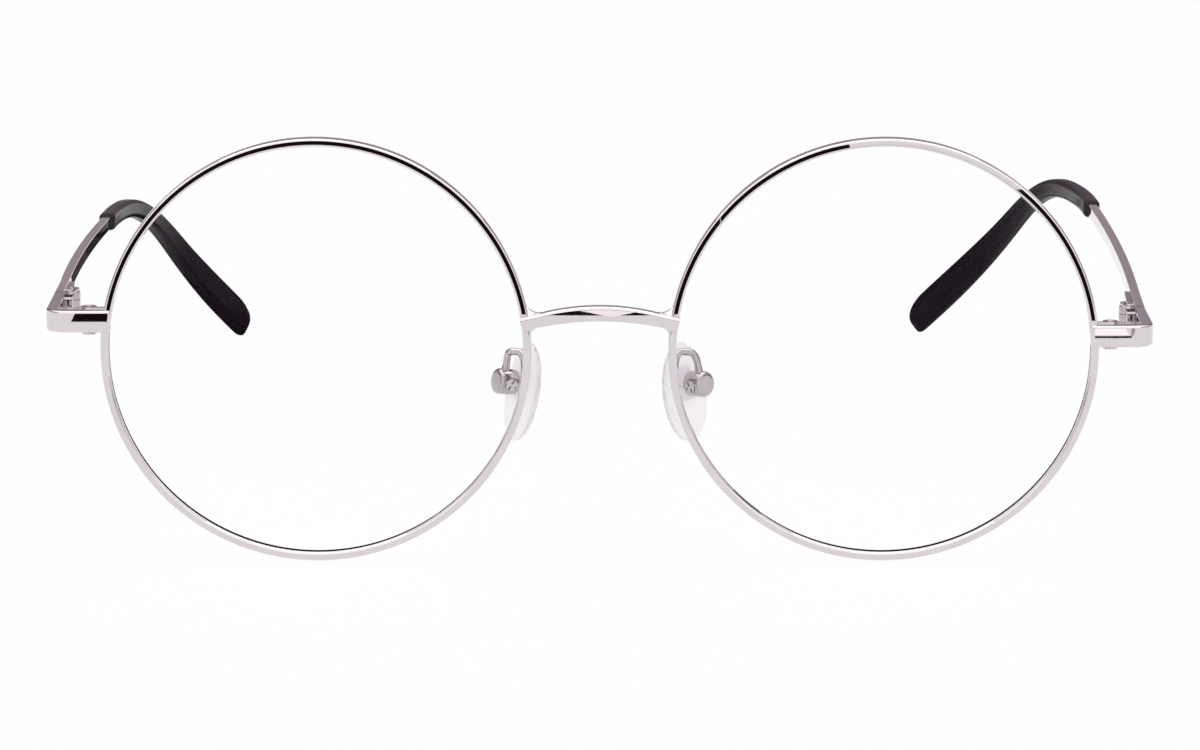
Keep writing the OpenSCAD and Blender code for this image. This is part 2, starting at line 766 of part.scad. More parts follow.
module pad_screw(side) {
    head_r = pad_screw_r + pad_head_over;
    pad_frame(side)
        translate([pad_screw_x, box_r - pad_head_sink, box_rise])
            rotate([-90, 25, 0])
                difference() {
                    slotted_screw(pad_screw_r, 2 * box_r - pad_head_sink - face_gap, head_r, pad_head_h);
                    translate([-slot_w / 2, -head_r - past, pad_head_h * 0.45])
                        cube([slot_w, 2 * (head_r + past), pad_head_h]);
                }
}

// The stiff plate inside the pad with the stem that hangs on the pad screw
module insert_shape(grow) {
    translate([-plate_t / 2 - grow, -plate_w / 2 - grow, box_rise - plate_h / 2 - grow])
        cube([plate_t + 2 * grow, plate_w + 2 * grow, plate_h + 2 * grow]);
    translate([pad_screw_x, -stem_t / 2 - grow, box_rise - stem_r - grow])
        cube([-pad_screw_x, stem_t + 2 * grow, 2 * (stem_r + grow)]);
}

module pad_insert(side) {
    pad_frame(side)
        difference() {
            union() {
                insert_shape(0);
                translate([pad_screw_x, stem_t / 2, box_rise])
                    rotate([90, 0, 0])
                        cylinder(r = stem_r, h = stem_t);
            }
            translate([pad_screw_x, stem_t / 2 + past, box_rise])
                rotate([90, 0, 0])
                    cylinder(r = pad_screw_r + turn_fit, h = stem_t + 2 * past);
        }
}

// An oval cushion with a flatter back, cut out for its insert
module nose_pad(side) {
    function pad_ring(u) = let (s = pow(cos(u), 0.85), f = pow(cos(u), 0.6))
        [for (i = [0 : pad_sides - 1]) let (a = 360 * i / pad_sides, c = cos(a))
            [(c > 0 ? pad_crown : pad_back) * f * sign(c) * pow(abs(c), 0.8),
             -pad_w / 2 * s * sin(a), pad_h / 2 * sin(u)]];
    pad_frame(side)
        difference() {
            skin([for (u = [-84, -74, -62, -48, -32, -16, 0, 16, 32, 48, 62, 74, 84]) pad_ring(u)]);
            insert_shape(insert_fit);
        }
}

module rim_left() { color(silver) on(LEFT) rim(LEFT); }
module rim_right() { color(silver) on(RIGHT) rim(RIGHT); }
module lens_left() { color(clear) on(LEFT) lens(); }
module lens_right() { color(clear) on(RIGHT) lens(); }
module closing_block_upper_left() { color(silver) on(LEFT) closing_block_upper(LEFT); }
module closing_block_upper_right() { color(silver) on(RIGHT) closing_block_upper(RIGHT); }
module closing_block_lower_left() { color(silver) on(LEFT) closing_block_lower(LEFT); }
module closing_block_lower_right() { color(silver) on(RIGHT) closing_block_lower(RIGHT); }
module closing_screw_left() { color(bright) on(LEFT) closing_screw(LEFT); }
module closing_screw_right() { color(bright) on(RIGHT) closing_screw(RIGHT); }
module end_piece_left() { color(silver) on(LEFT) end_piece(LEFT); }
module end_piece_right() { color(silver) on(RIGHT) end_piece(RIGHT); }
module front_hinge_left() { color(silver) on(LEFT) front_hinge(LEFT); }
module front_hinge_right() { color(silver) on(RIGHT) front_hinge(RIGHT); }
module hinge_screw_left() { color(bright) on(LEFT) hinge_screw(LEFT); }
module hinge_screw_right() { color(bright) on(RIGHT) hinge_screw(RIGHT); }
module temple_left() { color(silver) on(LEFT) temple(LEFT); }
module temple_right() { color(silver) on(RIGHT) temple(RIGHT); }
module temple_hinge_left() { color(silver) on(LEFT) temple_hinge(LEFT); }
module temple_hinge_right() { color(silver) on(RIGHT) temple_hinge(RIGHT); }
module temple_tip_left() { color(black) on(LEFT) temple_tip(LEFT); }
module temple_tip_right() { color(black) on(RIGHT) temple_tip(RIGHT); }
module pad_arm_left() { color(silver) on(LEFT) pad_arm(LEFT); }
module pad_arm_right() { color(silver) on(RIGHT) pad_arm(RIGHT); }
module pad_box_left() { color(silver) on(LEFT) pad_box(LEFT); }
module pad_box_right() { color(silver) on(RIGHT) pad_box(RIGHT); }
module pad_screw_left() { color(bright) on(LEFT) pad_screw(LEFT); }
module pad_screw_right() { color(bright) on(RIGHT) pad_screw(RIGHT); }
module pad_insert_left() { color(bright) on(LEFT) pad_insert(LEFT); }
module pad_insert_right() { color(bright) on(RIGHT) pad_insert(RIGHT); }
module nose_pad_left() { color(silicone) on(LEFT) nose_pad(LEFT); }
module nose_pad_right() { color(silicone) on(RIGHT) nose_pad(RIGHT); }

bridge();
rim_left();
rim_right();
lens_left();
lens_right();
closing_block_upper_left();
closing_block_upper_right();
closing_block_lower_left();
closing_block_lower_right();
closing_screw_left();
closing_screw_right();
end_piece_left();
end_piece_right();
front_hinge_left();
front_hinge_right();
hinge_screw_left();
hinge_screw_right();
temple_left();
temple_right();
temple_hinge_left();
temple_hinge_right();
temple_tip_left();
temple_tip_right();
pad_arm_left();
pad_arm_right();
pad_box_left();
pad_box_right();
pad_screw_left();
pad_screw_right();
pad_insert_left();
pad_insert_right();
nose_pad_left();
nose_pad_right();
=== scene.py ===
"""Round eyeglasses: detailed pieces, finishes, studio and camera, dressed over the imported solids.

Pieces are modelled in millimetres as the right-hand side's, with x from the middle of the
bridge, y = 0 in the lens plane and z up from the table. They are set in place, mirrored for
the left side, and baked in metres at the end of each build method.
"""

import logging
import math
from dataclasses import dataclass
from enum import Enum
from typing import Callable, Iterable, Sequence

import bmesh
import bpy
from mathutils import Matrix, Vector


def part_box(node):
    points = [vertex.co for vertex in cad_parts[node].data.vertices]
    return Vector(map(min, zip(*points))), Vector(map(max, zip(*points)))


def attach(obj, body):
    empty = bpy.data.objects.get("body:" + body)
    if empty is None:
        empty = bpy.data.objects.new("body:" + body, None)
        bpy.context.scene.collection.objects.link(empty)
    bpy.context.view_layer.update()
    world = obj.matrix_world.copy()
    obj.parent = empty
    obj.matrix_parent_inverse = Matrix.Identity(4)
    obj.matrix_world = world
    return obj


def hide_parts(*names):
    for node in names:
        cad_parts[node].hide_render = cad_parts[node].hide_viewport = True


log = logging.getLogger("eyeglasses")

Tint = tuple[float, float, float]

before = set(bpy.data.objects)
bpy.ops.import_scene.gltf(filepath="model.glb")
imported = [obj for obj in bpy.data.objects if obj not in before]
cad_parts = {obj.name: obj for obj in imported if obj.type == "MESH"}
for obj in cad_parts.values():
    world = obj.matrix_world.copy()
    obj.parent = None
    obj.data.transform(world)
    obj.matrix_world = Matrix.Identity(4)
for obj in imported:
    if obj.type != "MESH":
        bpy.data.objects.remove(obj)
MM = 0.001
# Places that are closer than this, in millimetres, are the same place.
HAIR = 1e-4


class Side(Enum):
    """The two sides of the glasses; the left one is at -X."""

    LEFT = "left"
    RIGHT = "right"


class Pick(Enum):
    """What an edit-mode selection is made of."""

    VERTS = "VERT"
    EDGES = "EDGE"


@dataclass(frozen=True)
class Hand:
    """The values that differ between the two sides, in millimetres and degrees.

    The end piece stands end_rise above the lens's middle. The temple falls and spreads by small
    angles, bends down by drop over bend_len and curls inwards from curl_at on. The nose pad
    stands at pad_x, splayed from the front and leaning outwards.
    """

    end_rise: float
    fall: float
    spread: float
    bend_at: float
    bend_len: float
    drop: float
    curl_at: float
    curl: float
    pad_x: float
    splay: float
    lean: float


@dataclass(frozen=True)
class Sizes:
    """The sizes that several pieces share, in millimetres, as in the part's source."""

    lens_r: float = 26.0
    lens_x: float = 34.8
    lens_z: float = 26.4
    rim_out: float = 26.4
    rim_in: float = 25.4
    rim_d: float = 1.9
    proud: float = 0.35
    front_x: float = 67.95
    end_h: float = 2.7
    end_t: float = 1.5
    end_corner: float = 2.6
    hinge_back: float = 11.0
    temple_t: float = 1.2
    temple_h: float = 1.75
    taper_len: float = 14.0
    bare_len: float = 77.5
    temple_len: float = 138.2
    bow: float = 2.2
    tip_t: float = 2.3
    tip_mouth_h: float = 2.45
    tip_end_h: float = 4.3
    pad_y: float = 7.0
    pad_drop: float = 6.8
    pad_screw_x: float = -2.6
    box_rise: float = 1.2
    box_r: float = 1.6

    @property
    def front_y(self) -> float:
        """Depth of the faces of the bridge and the end pieces."""
        return -self.rim_d / 2 - self.proud


SIZES = Sizes()
HANDS: dict[Side, Hand] = {
    Side.LEFT: Hand(end_rise=3.75, fall=2.9, spread=0.45, bend_at=87.0, bend_len=30.0, drop=39.7,
                    curl_at=82.0, curl=37.5, pad_x=9.7, splay=28.0, lean=11.0),
    Side.RIGHT: Hand(end_rise=1.9, fall=0.2, spread=0.35, bend_at=90.7, bend_len=22.0, drop=42.5,
                     curl_at=80.5, curl=57.0, pad_x=10.6, splay=44.0, lean=8.0),
}


@dataclass(frozen=True)
class Station:
    """A bar's cross-section: place along the bar, thickness, height and lift, in millimetres."""

    at: float
    thick: float
    high: float
    lift: float = 0.0


class Bench:
    """The modelling steps that the sub-assemblies share.

    lens_plane is the lens plane's y in the frame, in millimetres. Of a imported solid, faces that
    meet within level_angle become one, edges sharper than corner_angle are rounded, and those
    sharper than solid_smooth_angle are shaded sharp. The angles are in degrees.
    """

    lens_plane: float = 0.0
    level_angle: float = 1.5
    corner_angle: float = 32.0
    solid_smooth_angle: float = 38.0

    @staticmethod
    def clear() -> None:
        """Leaves edit mode and deselects everything."""
        if bpy.context.mode != "OBJECT":
            bpy.ops.object.mode_set(mode="OBJECT")
        bpy.ops.object.select_all(action="DESELECT")

    @staticmethod
    def activate(piece: bpy.types.Object) -> None:
        """Makes a piece the only selected one.

        Args:
            piece: the object to select.
        """
        Bench.clear()
        piece.select_set(True)
        bpy.context.view_layer.objects.active = piece

    @staticmethod
    def edit(piece: bpy.types.Object) -> None:
        """Opens a piece in edit mode with nothing selected.

        Args:
            piece: the object to edit.
        """
        Bench.activate(piece)
        bpy.ops.object.mode_set(mode="EDIT")
        bpy.ops.mesh.select_all(action="DESELECT")

    @staticmethod
    def choose(pick: Pick, test: Callable[[Vector], bool]) -> None:
        """Selects the parts of the edited mesh whose middle passes a test.

        Args:
            pick: what to select.
            test: takes the middle of a vertex or edge in local coordinates.
        """
        mesh = bpy.context.object.data
        bpy.ops.mesh.select_all(action="DESELECT")
        bpy.context.tool_settings.mesh_select_mode = (pick is Pick.VERTS, pick is Pick.EDGES, False)
        shape = bmesh.from_edit_mesh(mesh)
        if pick is Pick.VERTS:
            parts = [(v, v.co) for v in shape.verts]
        else:
            parts = [(e, (e.verts[0].co + e.verts[1].co) / 2) for e in shape.edges]
        for part, middle in parts:
            if test(middle):
                part.select_set(True)
        shape.select_flush_mode()
        bmesh.update_edit_mesh(mesh)

    @staticmethod
    def stretch(x: float = 1.0, y: float = 1.0, z: float = 1.0,
                about: Sequence[float] = (0, 0, 0)) -> None:
        """Scales the selection along the axes, about a point."""
        bpy.ops.transform.resize(value=(x, y, z), center_override=about)

    @staticmethod
    def bar(name: str, stations: Sequence[Station], corner: float, segments: int) -> bpy.types.Object:
        """Extrudes a rounded rectangle along +Y from section to section.

        Height lies along X and thickness along Z, which is how a path takes them up.

        Args:
            name: the piece's name.
            stations: the cross-sections, in order along the bar.
            corner: rounding of the first section's corners.
            segments: faces in each rounding.

        Returns:
            The bar, closed at both ends.
        """
        first = stations[0]
        Bench.clear()
        bpy.ops.mesh.primitive_plane_add(size=1, rotation=(math.pi / 2, 0, 0))
        piece = bpy.context.object
        piece.name = name
        bpy.ops.object.transform_apply(rotation=True)
        bpy.ops.object.mode_set(mode="EDIT")
        bpy.ops.mesh.select_all(action="SELECT")
        Bench.stretch(x=first.high, z=first.thick)
        bpy.ops.mesh.bevel(offset=corner, segments=segments, affect="VERTICES")
        Bench.flatten(first.high / 2 - corner, first.thick / 2 - corner)
        bpy.ops.mesh.select_all(action="SELECT")
        bpy.ops.transform.translate(value=(first.lift, first.at, 0))
        for last, now in zip(stations, stations[1:]):
            step = (now.lift - last.lift, now.at - last.at, 0)
            bpy.ops.mesh.extrude_region_move(TRANSFORM_OT_translate={"value": step})
            Bench.stretch(x=now.high / last.high, z=now.thick / last.thick, about=(now.lift, now.at, 0))
        bpy.ops.object.mode_set(mode="OBJECT")
        return piece

    @staticmethod
    def flatten(flat_x: float, flat_z: float, margin: float = 0.03) -> None:
        """Adds points beside a rounded section's corners, so that its flats are shaded flat.

        Args:
            flat_x: half the length of the flats that lie along X.
            flat_z: half the length of the flats that lie along Z.
            margin: distance of the added points from the rounding.
        """
        if min(flat_x, flat_z) < 2 * margin:
            return
        Bench.choose(Pick.EDGES, lambda m: min(abs(m.x), abs(m.z)) < HAIR)
        bpy.ops.mesh.subdivide(number_cuts=2)
        Bench.choose(Pick.VERTS, lambda m: abs(abs(m.x) - flat_x / 3) < HAIR)
        Bench.stretch(x=3 * (flat_x - margin) / flat_x)
        Bench.choose(Pick.VERTS, lambda m: abs(abs(m.z) - flat_z / 3) < HAIR)
        Bench.stretch(z=3 * (flat_z - margin) / flat_z)

    @staticmethod
    def bend(piece: bpy.types.Object, path: Sequence[Vector], upright: bool = True) -> None:
        """Bends a bar along a path.

        Args:
            piece: a bar along +Y.
            path: points in millimetres, the first at the bar's y = 0.
            upright: keep the bar's height in the vertical plane of the path.
        """
        line = bpy.data.curves.new("path", "CURVE")
        line.dimensions = "3D"
        line.twist_mode = "Z_UP" if upright else "MINIMUM"
        spline = line.splines.new("POLY")
        spline.points.add(len(path) - 1)
        for point, place in zip(spline.points, path):
            point.co = (*place, 1)
        guide = bpy.data.objects.new("path", line)
        bpy.context.collection.objects.link(guide)
        Bench.activate(piece)
        bend = piece.modifiers.new("bend", "CURVE")
        bend.object = guide
        bend.deform_axis = "POS_Y"
        bpy.ops.object.modifier_apply(modifier=bend.name)
        bpy.data.objects.remove(guide)
        bpy.data.curves.remove(line)

    @staticmethod
    def place(piece: bpy.types.Object, side: Side, angle: float,
              at: Matrix = Matrix.Identity(4)) -> None:
        """Sets a right-hand piece in the frame, mirrored for the left side, and smooths it.

        Args:
            piece: the piece, in millimetres.
            side: the side that it is for.
            angle: edges sharper than this stay sharp.
            at: its place among the right-hand side's pieces.
        """
        flip = Matrix.Diagonal((-1 if side is Side.LEFT else 1, 1, 1, 1))
        frame = Matrix.Scale(MM, 4) @ Matrix.Translation((0, Bench.lens_plane, 0)) @ flip
        Bench.activate(piece)
        piece.matrix_world = frame @ at @ piece.matrix_world
        bpy.ops.object.transform_apply(location=True, rotation=True, scale=True)
        bpy.ops.object.mode_set(mode="EDIT")
        bpy.ops.mesh.select_all(action="SELECT")
        bpy.ops.mesh.remove_doubles(threshold=HAIR * MM)
        bpy.ops.mesh.normals_make_consistent(inside=False)
        bpy.ops.object.mode_set(mode="OBJECT")
        bpy.ops.object.shade_smooth_by_angle(angle=math.radians(angle))

    @staticmethod
    def join(pieces: Sequence[bpy.types.Object]) -> bpy.types.Object:
        """Joins objects into the first of them.

        Args:
            pieces: the objects.

        Returns:
            The joined object.
        """
        Bench.clear()
        for piece in pieces:
            piece.select_set(True)
        bpy.context.view_layer.objects.active = pieces[0]
        bpy.ops.object.join()
        return pieces[0]

    @staticmethod
    def soften(node: str, name: str, width: float) -> bpy.types.Object:
        """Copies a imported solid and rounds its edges.

        Args:
            node: the solid's name.
            name: the new piece's name.
            width: width of the rounding, in millimetres.

        Returns:
            The new piece, in metres.
        """
        piece = bpy.data.objects.new(name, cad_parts[node].data.copy())
        bpy.context.collection.objects.link(piece)
        Bench.activate(piece)
        bpy.ops.object.mode_set(mode="EDIT")
        bpy.ops.mesh.select_all(action="SELECT")
        bpy.ops.mesh.remove_doubles(threshold=HAIR * MM)
        bpy.ops.mesh.dissolve_limited(angle_limit=math.radians(Bench.level_angle))
        bpy.ops.object.mode_set(mode="OBJECT")
        bevel = piece.modifiers.new("rounding", "BEVEL")
        bevel.width = width * MM
        bevel.segments = 3
        bevel.limit_method = "ANGLE"
        bevel.angle_limit = math.radians(Bench.corner_angle)
        bevel.use_clamp_overlap = True
        bpy.ops.object.modifier_apply(modifier=bevel.name)
        bpy.ops.object.shade_smooth_by_angle(angle=math.radians(Bench.solid_smooth_angle))
        return piece

    @staticmethod
    def hand_over(piece: bpy.types.Object, body: str, slot: str, finish: bpy.types.Material,
                  node: str) -> None:
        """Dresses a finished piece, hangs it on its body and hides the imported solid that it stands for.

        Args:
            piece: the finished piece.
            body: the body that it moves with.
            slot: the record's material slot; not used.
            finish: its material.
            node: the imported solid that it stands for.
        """
        piece.data.materials.clear()
        piece.data.materials.append(finish)
        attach(piece, body)
        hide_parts(node)
        log.info("%s: %d faces, for %s", piece.name, len(piece.data.polygons), node)


class Graph:
    """A small helper to lay out a material's nodes."""

    def __init__(self, name: str) -> None:
        """Starts a material with an empty graph.

        Args:
            name: the material's name.
        """
        self.material = bpy.data.materials.new(name)
        self.material.use_nodes = True
        self.tree = self.material.node_tree
        self.tree.nodes.clear()
        self.out = self.add("ShaderNodeOutputMaterial")

    def add(self, kind: str, **settings: object) -> bpy.types.Node:
        """Adds a node and sets its inputs and properties.

        Args:
            kind: the node's type.
            settings: properties, or inputs where the name has an underscore for each space.

        Returns:
            The node.
        """
        node = self.tree.nodes.new(kind)
        for key, value in settings.items():
            title = key.replace("_", " ")
            socket = next((s for s in node.inputs if s.name.lower() == title.lower()), None)
            if socket is not None:
                socket.default_value = value
            else:
                setattr(node, key, value)
        return node

    def wire(self, source: bpy.types.NodeSocket, target: bpy.types.NodeSocket) -> None:
        """Links two sockets."""
        self.tree.links.new(source, target)

    def noise(self, scale: float, detail: float,
              stretch: Sequence[float] = (1, 1, 1)) -> bpy.types.NodeSocket:
        """Adds noise on object coordinates.

        Args:
            scale: size of the pattern, in cells per metre.
            detail: octaves.
            stretch: scale of the coordinates along each axis.

        Returns:
            The factor's socket.
        """
        place = self.add("ShaderNodeTexCoord")
        turn = self.add("ShaderNodeMapping", Scale=tuple(stretch))
        cloud = self.add("ShaderNodeTexNoise", Scale=scale, Detail=detail)
        self.wire(place.outputs["Object"], turn.inputs["Vector"])
        self.wire(turn.outputs["Vector"], cloud.inputs["Vector"])
        return cloud.outputs["Fac"]

    def span(self, source: bpy.types.NodeSocket, low: float = 0.0, high: float = 1.0,
             start: float = 0.3, end: float = 0.7) -> bpy.types.NodeSocket:
        """Maps a factor to a range.

        Args:
            source: the factor.
            low: the result where the factor is at start.
            high: the result where the factor is at end.
            start: the factor's low end.
            end: the factor's high end.

        Returns:
            The mapped socket.
        """
        node = self.add("ShaderNodeMapRange", clamp=True)
        for name, value in (("From Min", start), ("From Max", end), ("To Min", low), ("To Max", high)):
            node.inputs[name].default_value = value
        self.wire(source, node.inputs["Value"])
        return node.outputs["Result"]

    def blend(self, factor: bpy.types.NodeSocket, one: Tint | bpy.types.NodeSocket,
              two: Tint) -> bpy.types.NodeSocket:
        """Mixes two colours by a factor.

        Args:
            factor: how much of the second colour shows.
            one: the first colour, or a socket that gives it.
            two: the second colour.

        Returns:
            The mixed colour's socket.
        """
        node = self.add("ShaderNodeMix", data_type="RGBA")
        if isinstance(one, bpy.types.NodeSocket):
            self.wire(one, node.inputs[6])
        else:
            node.inputs[6].default_value = (*one, 1)
        node.inputs[7].default_value = (*two, 1)
        self.wire(factor, node.inputs[0])
        return node.outputs[2]

    def bump(self, height: bpy.types.NodeSocket, strength: float, depth: float) -> bpy.types.NodeSocket:
        """Adds a bump.

        Args:
            height: the height's factor.
            strength: how much of the bump shows.
            depth: the depth of a full factor, in metres.

        Returns:
            The normal's socket.
        """
        node = self.add("ShaderNodeBump")
        node.inputs["Strength"].default_value = strength
        node.inputs["Distance"].default_value = depth
        self.wire(height, node.inputs["Height"])
        return node.outputs["Normal"]


@dataclass(frozen=True)
class PolishedMetal:
    """Plated metal, bright and slightly warm, with faint wiping marks and ripples.

    Scales are in cells per metre and depths in metres, here and in the finishes below.
    """

    name: str
    tint: Tint
    shade: Tint
    rough: float
    rough_spread: float
    ripples: float
    cloud_scale: float = 260.0
    wipe_scale: float = 900.0
    ripple_scale: float = 120.0
    ripple_depth: float = 0.00002

    def make(self) -> bpy.types.Material:
        """Builds the material.

        Returns:
            The material.
        """
        g = Graph(self.name)
        skin = g.add("ShaderNodeBsdfPrincipled", Metallic=1.0)
        clouds = g.span(g.noise(self.cloud_scale, 4))
        g.wire(g.blend(clouds, self.tint, self.shade), skin.inputs["Base Color"])
        wipe = g.noise(self.wipe_scale, 6, (1, 0.2, 1))
        g.wire(g.span(wipe, self.rough - self.rough_spread, self.rough + self.rough_spread),
               skin.inputs["Roughness"])
        waves = g.bump(g.noise(self.ripple_scale, 1), self.ripples, self.ripple_depth)
        g.wire(waves, skin.inputs["Normal"])
        g.wire(skin.outputs[0], g.out.inputs[0])
        return g.material


@dataclass(frozen=True)
class GlossPlastic:
    """Dark plastic with faint waves and dust specks, whose gloss wears off towards the tip's end.

    The coat's weight goes from gloss to worn while the frame's y goes from worn_from to worn_to,
    in metres.
    """

    name: str
    tint: Tint
    shade: Tint
    rough: float
    gloss: float
    worn: float
    worn_from: float = 0.040
    worn_to: float = 0.056
    dust: Tint = (0.06, 0.055, 0.06)
    dust_scale: float = 2300.0
    cloud_scale: float = 180.0
    wipe_scale: float = 300.0
    wave_scale: float = 150.0
    wave_depth: float = 0.00001

    def make(self) -> bpy.types.Material:
        """Builds the material.

        Returns:
            The material.
        """
        g = Graph(self.name)
        skin = g.add("ShaderNodeBsdfPrincipled", IOR=1.49)
        skin.inputs["Specular IOR Level"].default_value = 0.0
        skin.inputs["Coat Roughness"].default_value = self.rough
        place = g.add("ShaderNodeTexCoord")
        parts = g.add("ShaderNodeSeparateXYZ")
        g.wire(place.outputs["Object"], parts.inputs[0])
        coat = g.span(parts.outputs["Y"], self.gloss, self.worn, self.worn_from, self.worn_to)
        g.wire(coat, skin.inputs["Coat Weight"])
        clouds = g.span(g.noise(self.cloud_scale, 3))
        specks = g.span(g.noise(self.dust_scale, 1), start=0.79, end=0.83)
        base = g.blend(clouds, self.tint, self.shade)
        g.wire(g.blend(specks, base, self.dust), skin.inputs["Base Color"])
        wipe = g.noise(self.wipe_scale, 2, (1, 0.3, 1))
        g.wire(g.span(wipe, self.rough - 0.04, self.rough + 0.05), skin.inputs["Roughness"])
        g.wire(g.bump(g.noise(self.wave_scale, 1), 0.1, self.wave_depth), skin.inputs["Normal"])
        g.wire(skin.outputs[0], g.out.inputs[0])
        return g.material


@dataclass(frozen=True)
class ClearPlastic:
    """A clear material that lets light through to the floor in its shadow."""

    name: str
    tint: Tint
    ior: float
    rough: float
    haze: float
    clear: float
    gloss: float = 0.5
    cloud_scale: float = 150.0
    wipe_scale: float = 800.0

    def make(self) -> bpy.types.Material:
        """Builds the material.

        Returns:
            The material.
        """
        g = Graph(self.name)
        skin = g.add("ShaderNodeBsdfPrincipled", IOR=self.ior)
        skin.inputs["Transmission Weight"].default_value = self.clear
        skin.inputs["Specular IOR Level"].default_value = self.gloss
        clouds = g.span(g.noise(self.cloud_scale, 2))
        darker = tuple(c * (1 - self.haze) for c in self.tint)
        g.wire(g.blend(clouds, self.tint, darker), skin.inputs["Base Color"])
        wipe = g.noise(self.wipe_scale, 3)
        g.wire(g.span(wipe, self.rough * 0.7, self.rough * 1.3), skin.inputs["Roughness"])
        light = g.add("ShaderNodeLightPath")
        through = g.add("ShaderNodeBsdfTransparent")
        pass_on = g.add("ShaderNodeMixShader")
        g.wire(light.outputs["Is Shadow Ray"], pass_on.inputs[0])
        g.wire(skin.outputs[0], pass_on.inputs[1])
        g.wire(through.outputs[0], pass_on.inputs[2])
        g.wire(pass_on.outputs[0], g.out.inputs[0])
        return g.material


@dataclass(frozen=True)
class Finishes:
    """All the finishes, built once."""

    silver: bpy.types.Material
    steel: bpy.types.Material
    cast: bpy.types.Material
    black: bpy.types.Material
    lens: bpy.types.Material
    pad: bpy.types.Material
    core: bpy.types.Material


def make_finishes() -> Finishes:
    """Builds every finish of the glasses.

    Returns:
        The finishes.
    """
    silver = PolishedMetal("polished_silver", tint=(0.72, 0.67, 0.69), shade=(0.68, 0.63, 0.655),
                           rough=0.009, rough_spread=0.004, ripples=0.04)
    steel = PolishedMetal("screw_steel", tint=(0.60, 0.57, 0.58), shade=(0.52, 0.49, 0.50),
                          rough=0.08, rough_spread=0.03, ripples=0.1)
    # The small parts' silver: rougher than the polished one, and darker by painted shade.
    cast = PolishedMetal("silver_with_painted_shade", tint=(0.56, 0.515, 0.53), shade=(0.43, 0.395, 0.41),
                         rough=0.05, rough_spread=0.02, ripples=0.05)
    black = GlossPlastic("black_tip", tint=(0.0125, 0.0068, 0.0125), shade=(0.0160, 0.0092, 0.0160),
                         rough=0.2, gloss=0.6, worn=0.1)
    lens = ClearPlastic("clear_lens", tint=(1.0, 1.0, 1.0), ior=1.04, rough=0.0, haze=0.0, clear=1.0)
    pad = ClearPlastic("clear_silicone", tint=(0.968, 0.94, 0.966), ior=1.1, rough=0.45, haze=0.015,
                       clear=0.8)
    core = ClearPlastic("pad_core", tint=(0.93, 0.90, 0.925), ior=1.12, rough=0.25, haze=0.04, clear=0.8)
    return Finishes(silver.make(), steel.make(), cast.make(), black.make(), lens.make(), pad.make(),
                    core.make())


class Line:
    """The centre line of an open temple, from the hinge to the end of its tip."""

    def __init__(self, hand: Hand) -> None:
        """Takes the side's values.

        Args:
            hand: the side's values.
        """
        self.hand = hand

    def turn(self, length: float) -> float:
        """Works out how far the temple has turned inwards.

        Args:
            length: length from the hinge.

        Returns:
            The angle, in radians.
        """
        h, s = self.hand, SIZES
        curled = min(max((length - h.curl_at) / (s.temple_len - h.curl_at), 0.0), 1.0)
        bowed = min(max((length - s.taper_len) / (s.bare_len - s.taper_len), 0.0), 1.0)
        return math.radians(h.curl * curled + s.bow * (2 * bowed - 1) - h.spread)

    def heading(self, length: float) -> Vector:
        """Works out the temple's direction, for the right-hand side.

        Args:
            length: length from the hinge.

        Returns:
            The direction, of length 1.
        """
        h = self.hand
        a = min(max((length - h.bend_at) / h.bend_len, 0.0), 1.0)
        pitch = math.radians(h.fall + (h.drop - h.fall) * a * a * (3 - 2 * a))
        turn = self.turn(length)
        level = math.cos(pitch)
        return Vector((-math.sin(turn) * level, math.cos(turn) * level, -math.sin(pitch)))

    def hinge(self) -> Vector:
        """Middle of the temple's outer face at the hinge."""
        return Vector((SIZES.front_x, SIZES.hinge_back, SIZES.lens_z + self.hand.end_rise))

    def points(self, start: float, end: float, step: float = 0.5) -> list[Vector]:
        """Points along the middle of the temple.

        Args:
            start: length from the hinge at the first point.
            end: length at the last point.
            step: about how far the points are apart.

        Returns:
            The points, in millimetres.
        """
        turn = self.turn(0)
        place = self.hinge() - Vector((math.cos(turn), math.sin(turn), 0)) * SIZES.temple_t / 2
        found = [place]
        for first, last in ((0.0, start), (start, end)):
            count = max(1, round((last - first) / step))
            pace = (last - first) / count
            found = found[-1:]
            for i in range(count):
                found.append(found[-1] + self.heading(first + pace * (i + 0.5)) * pace)
        return found


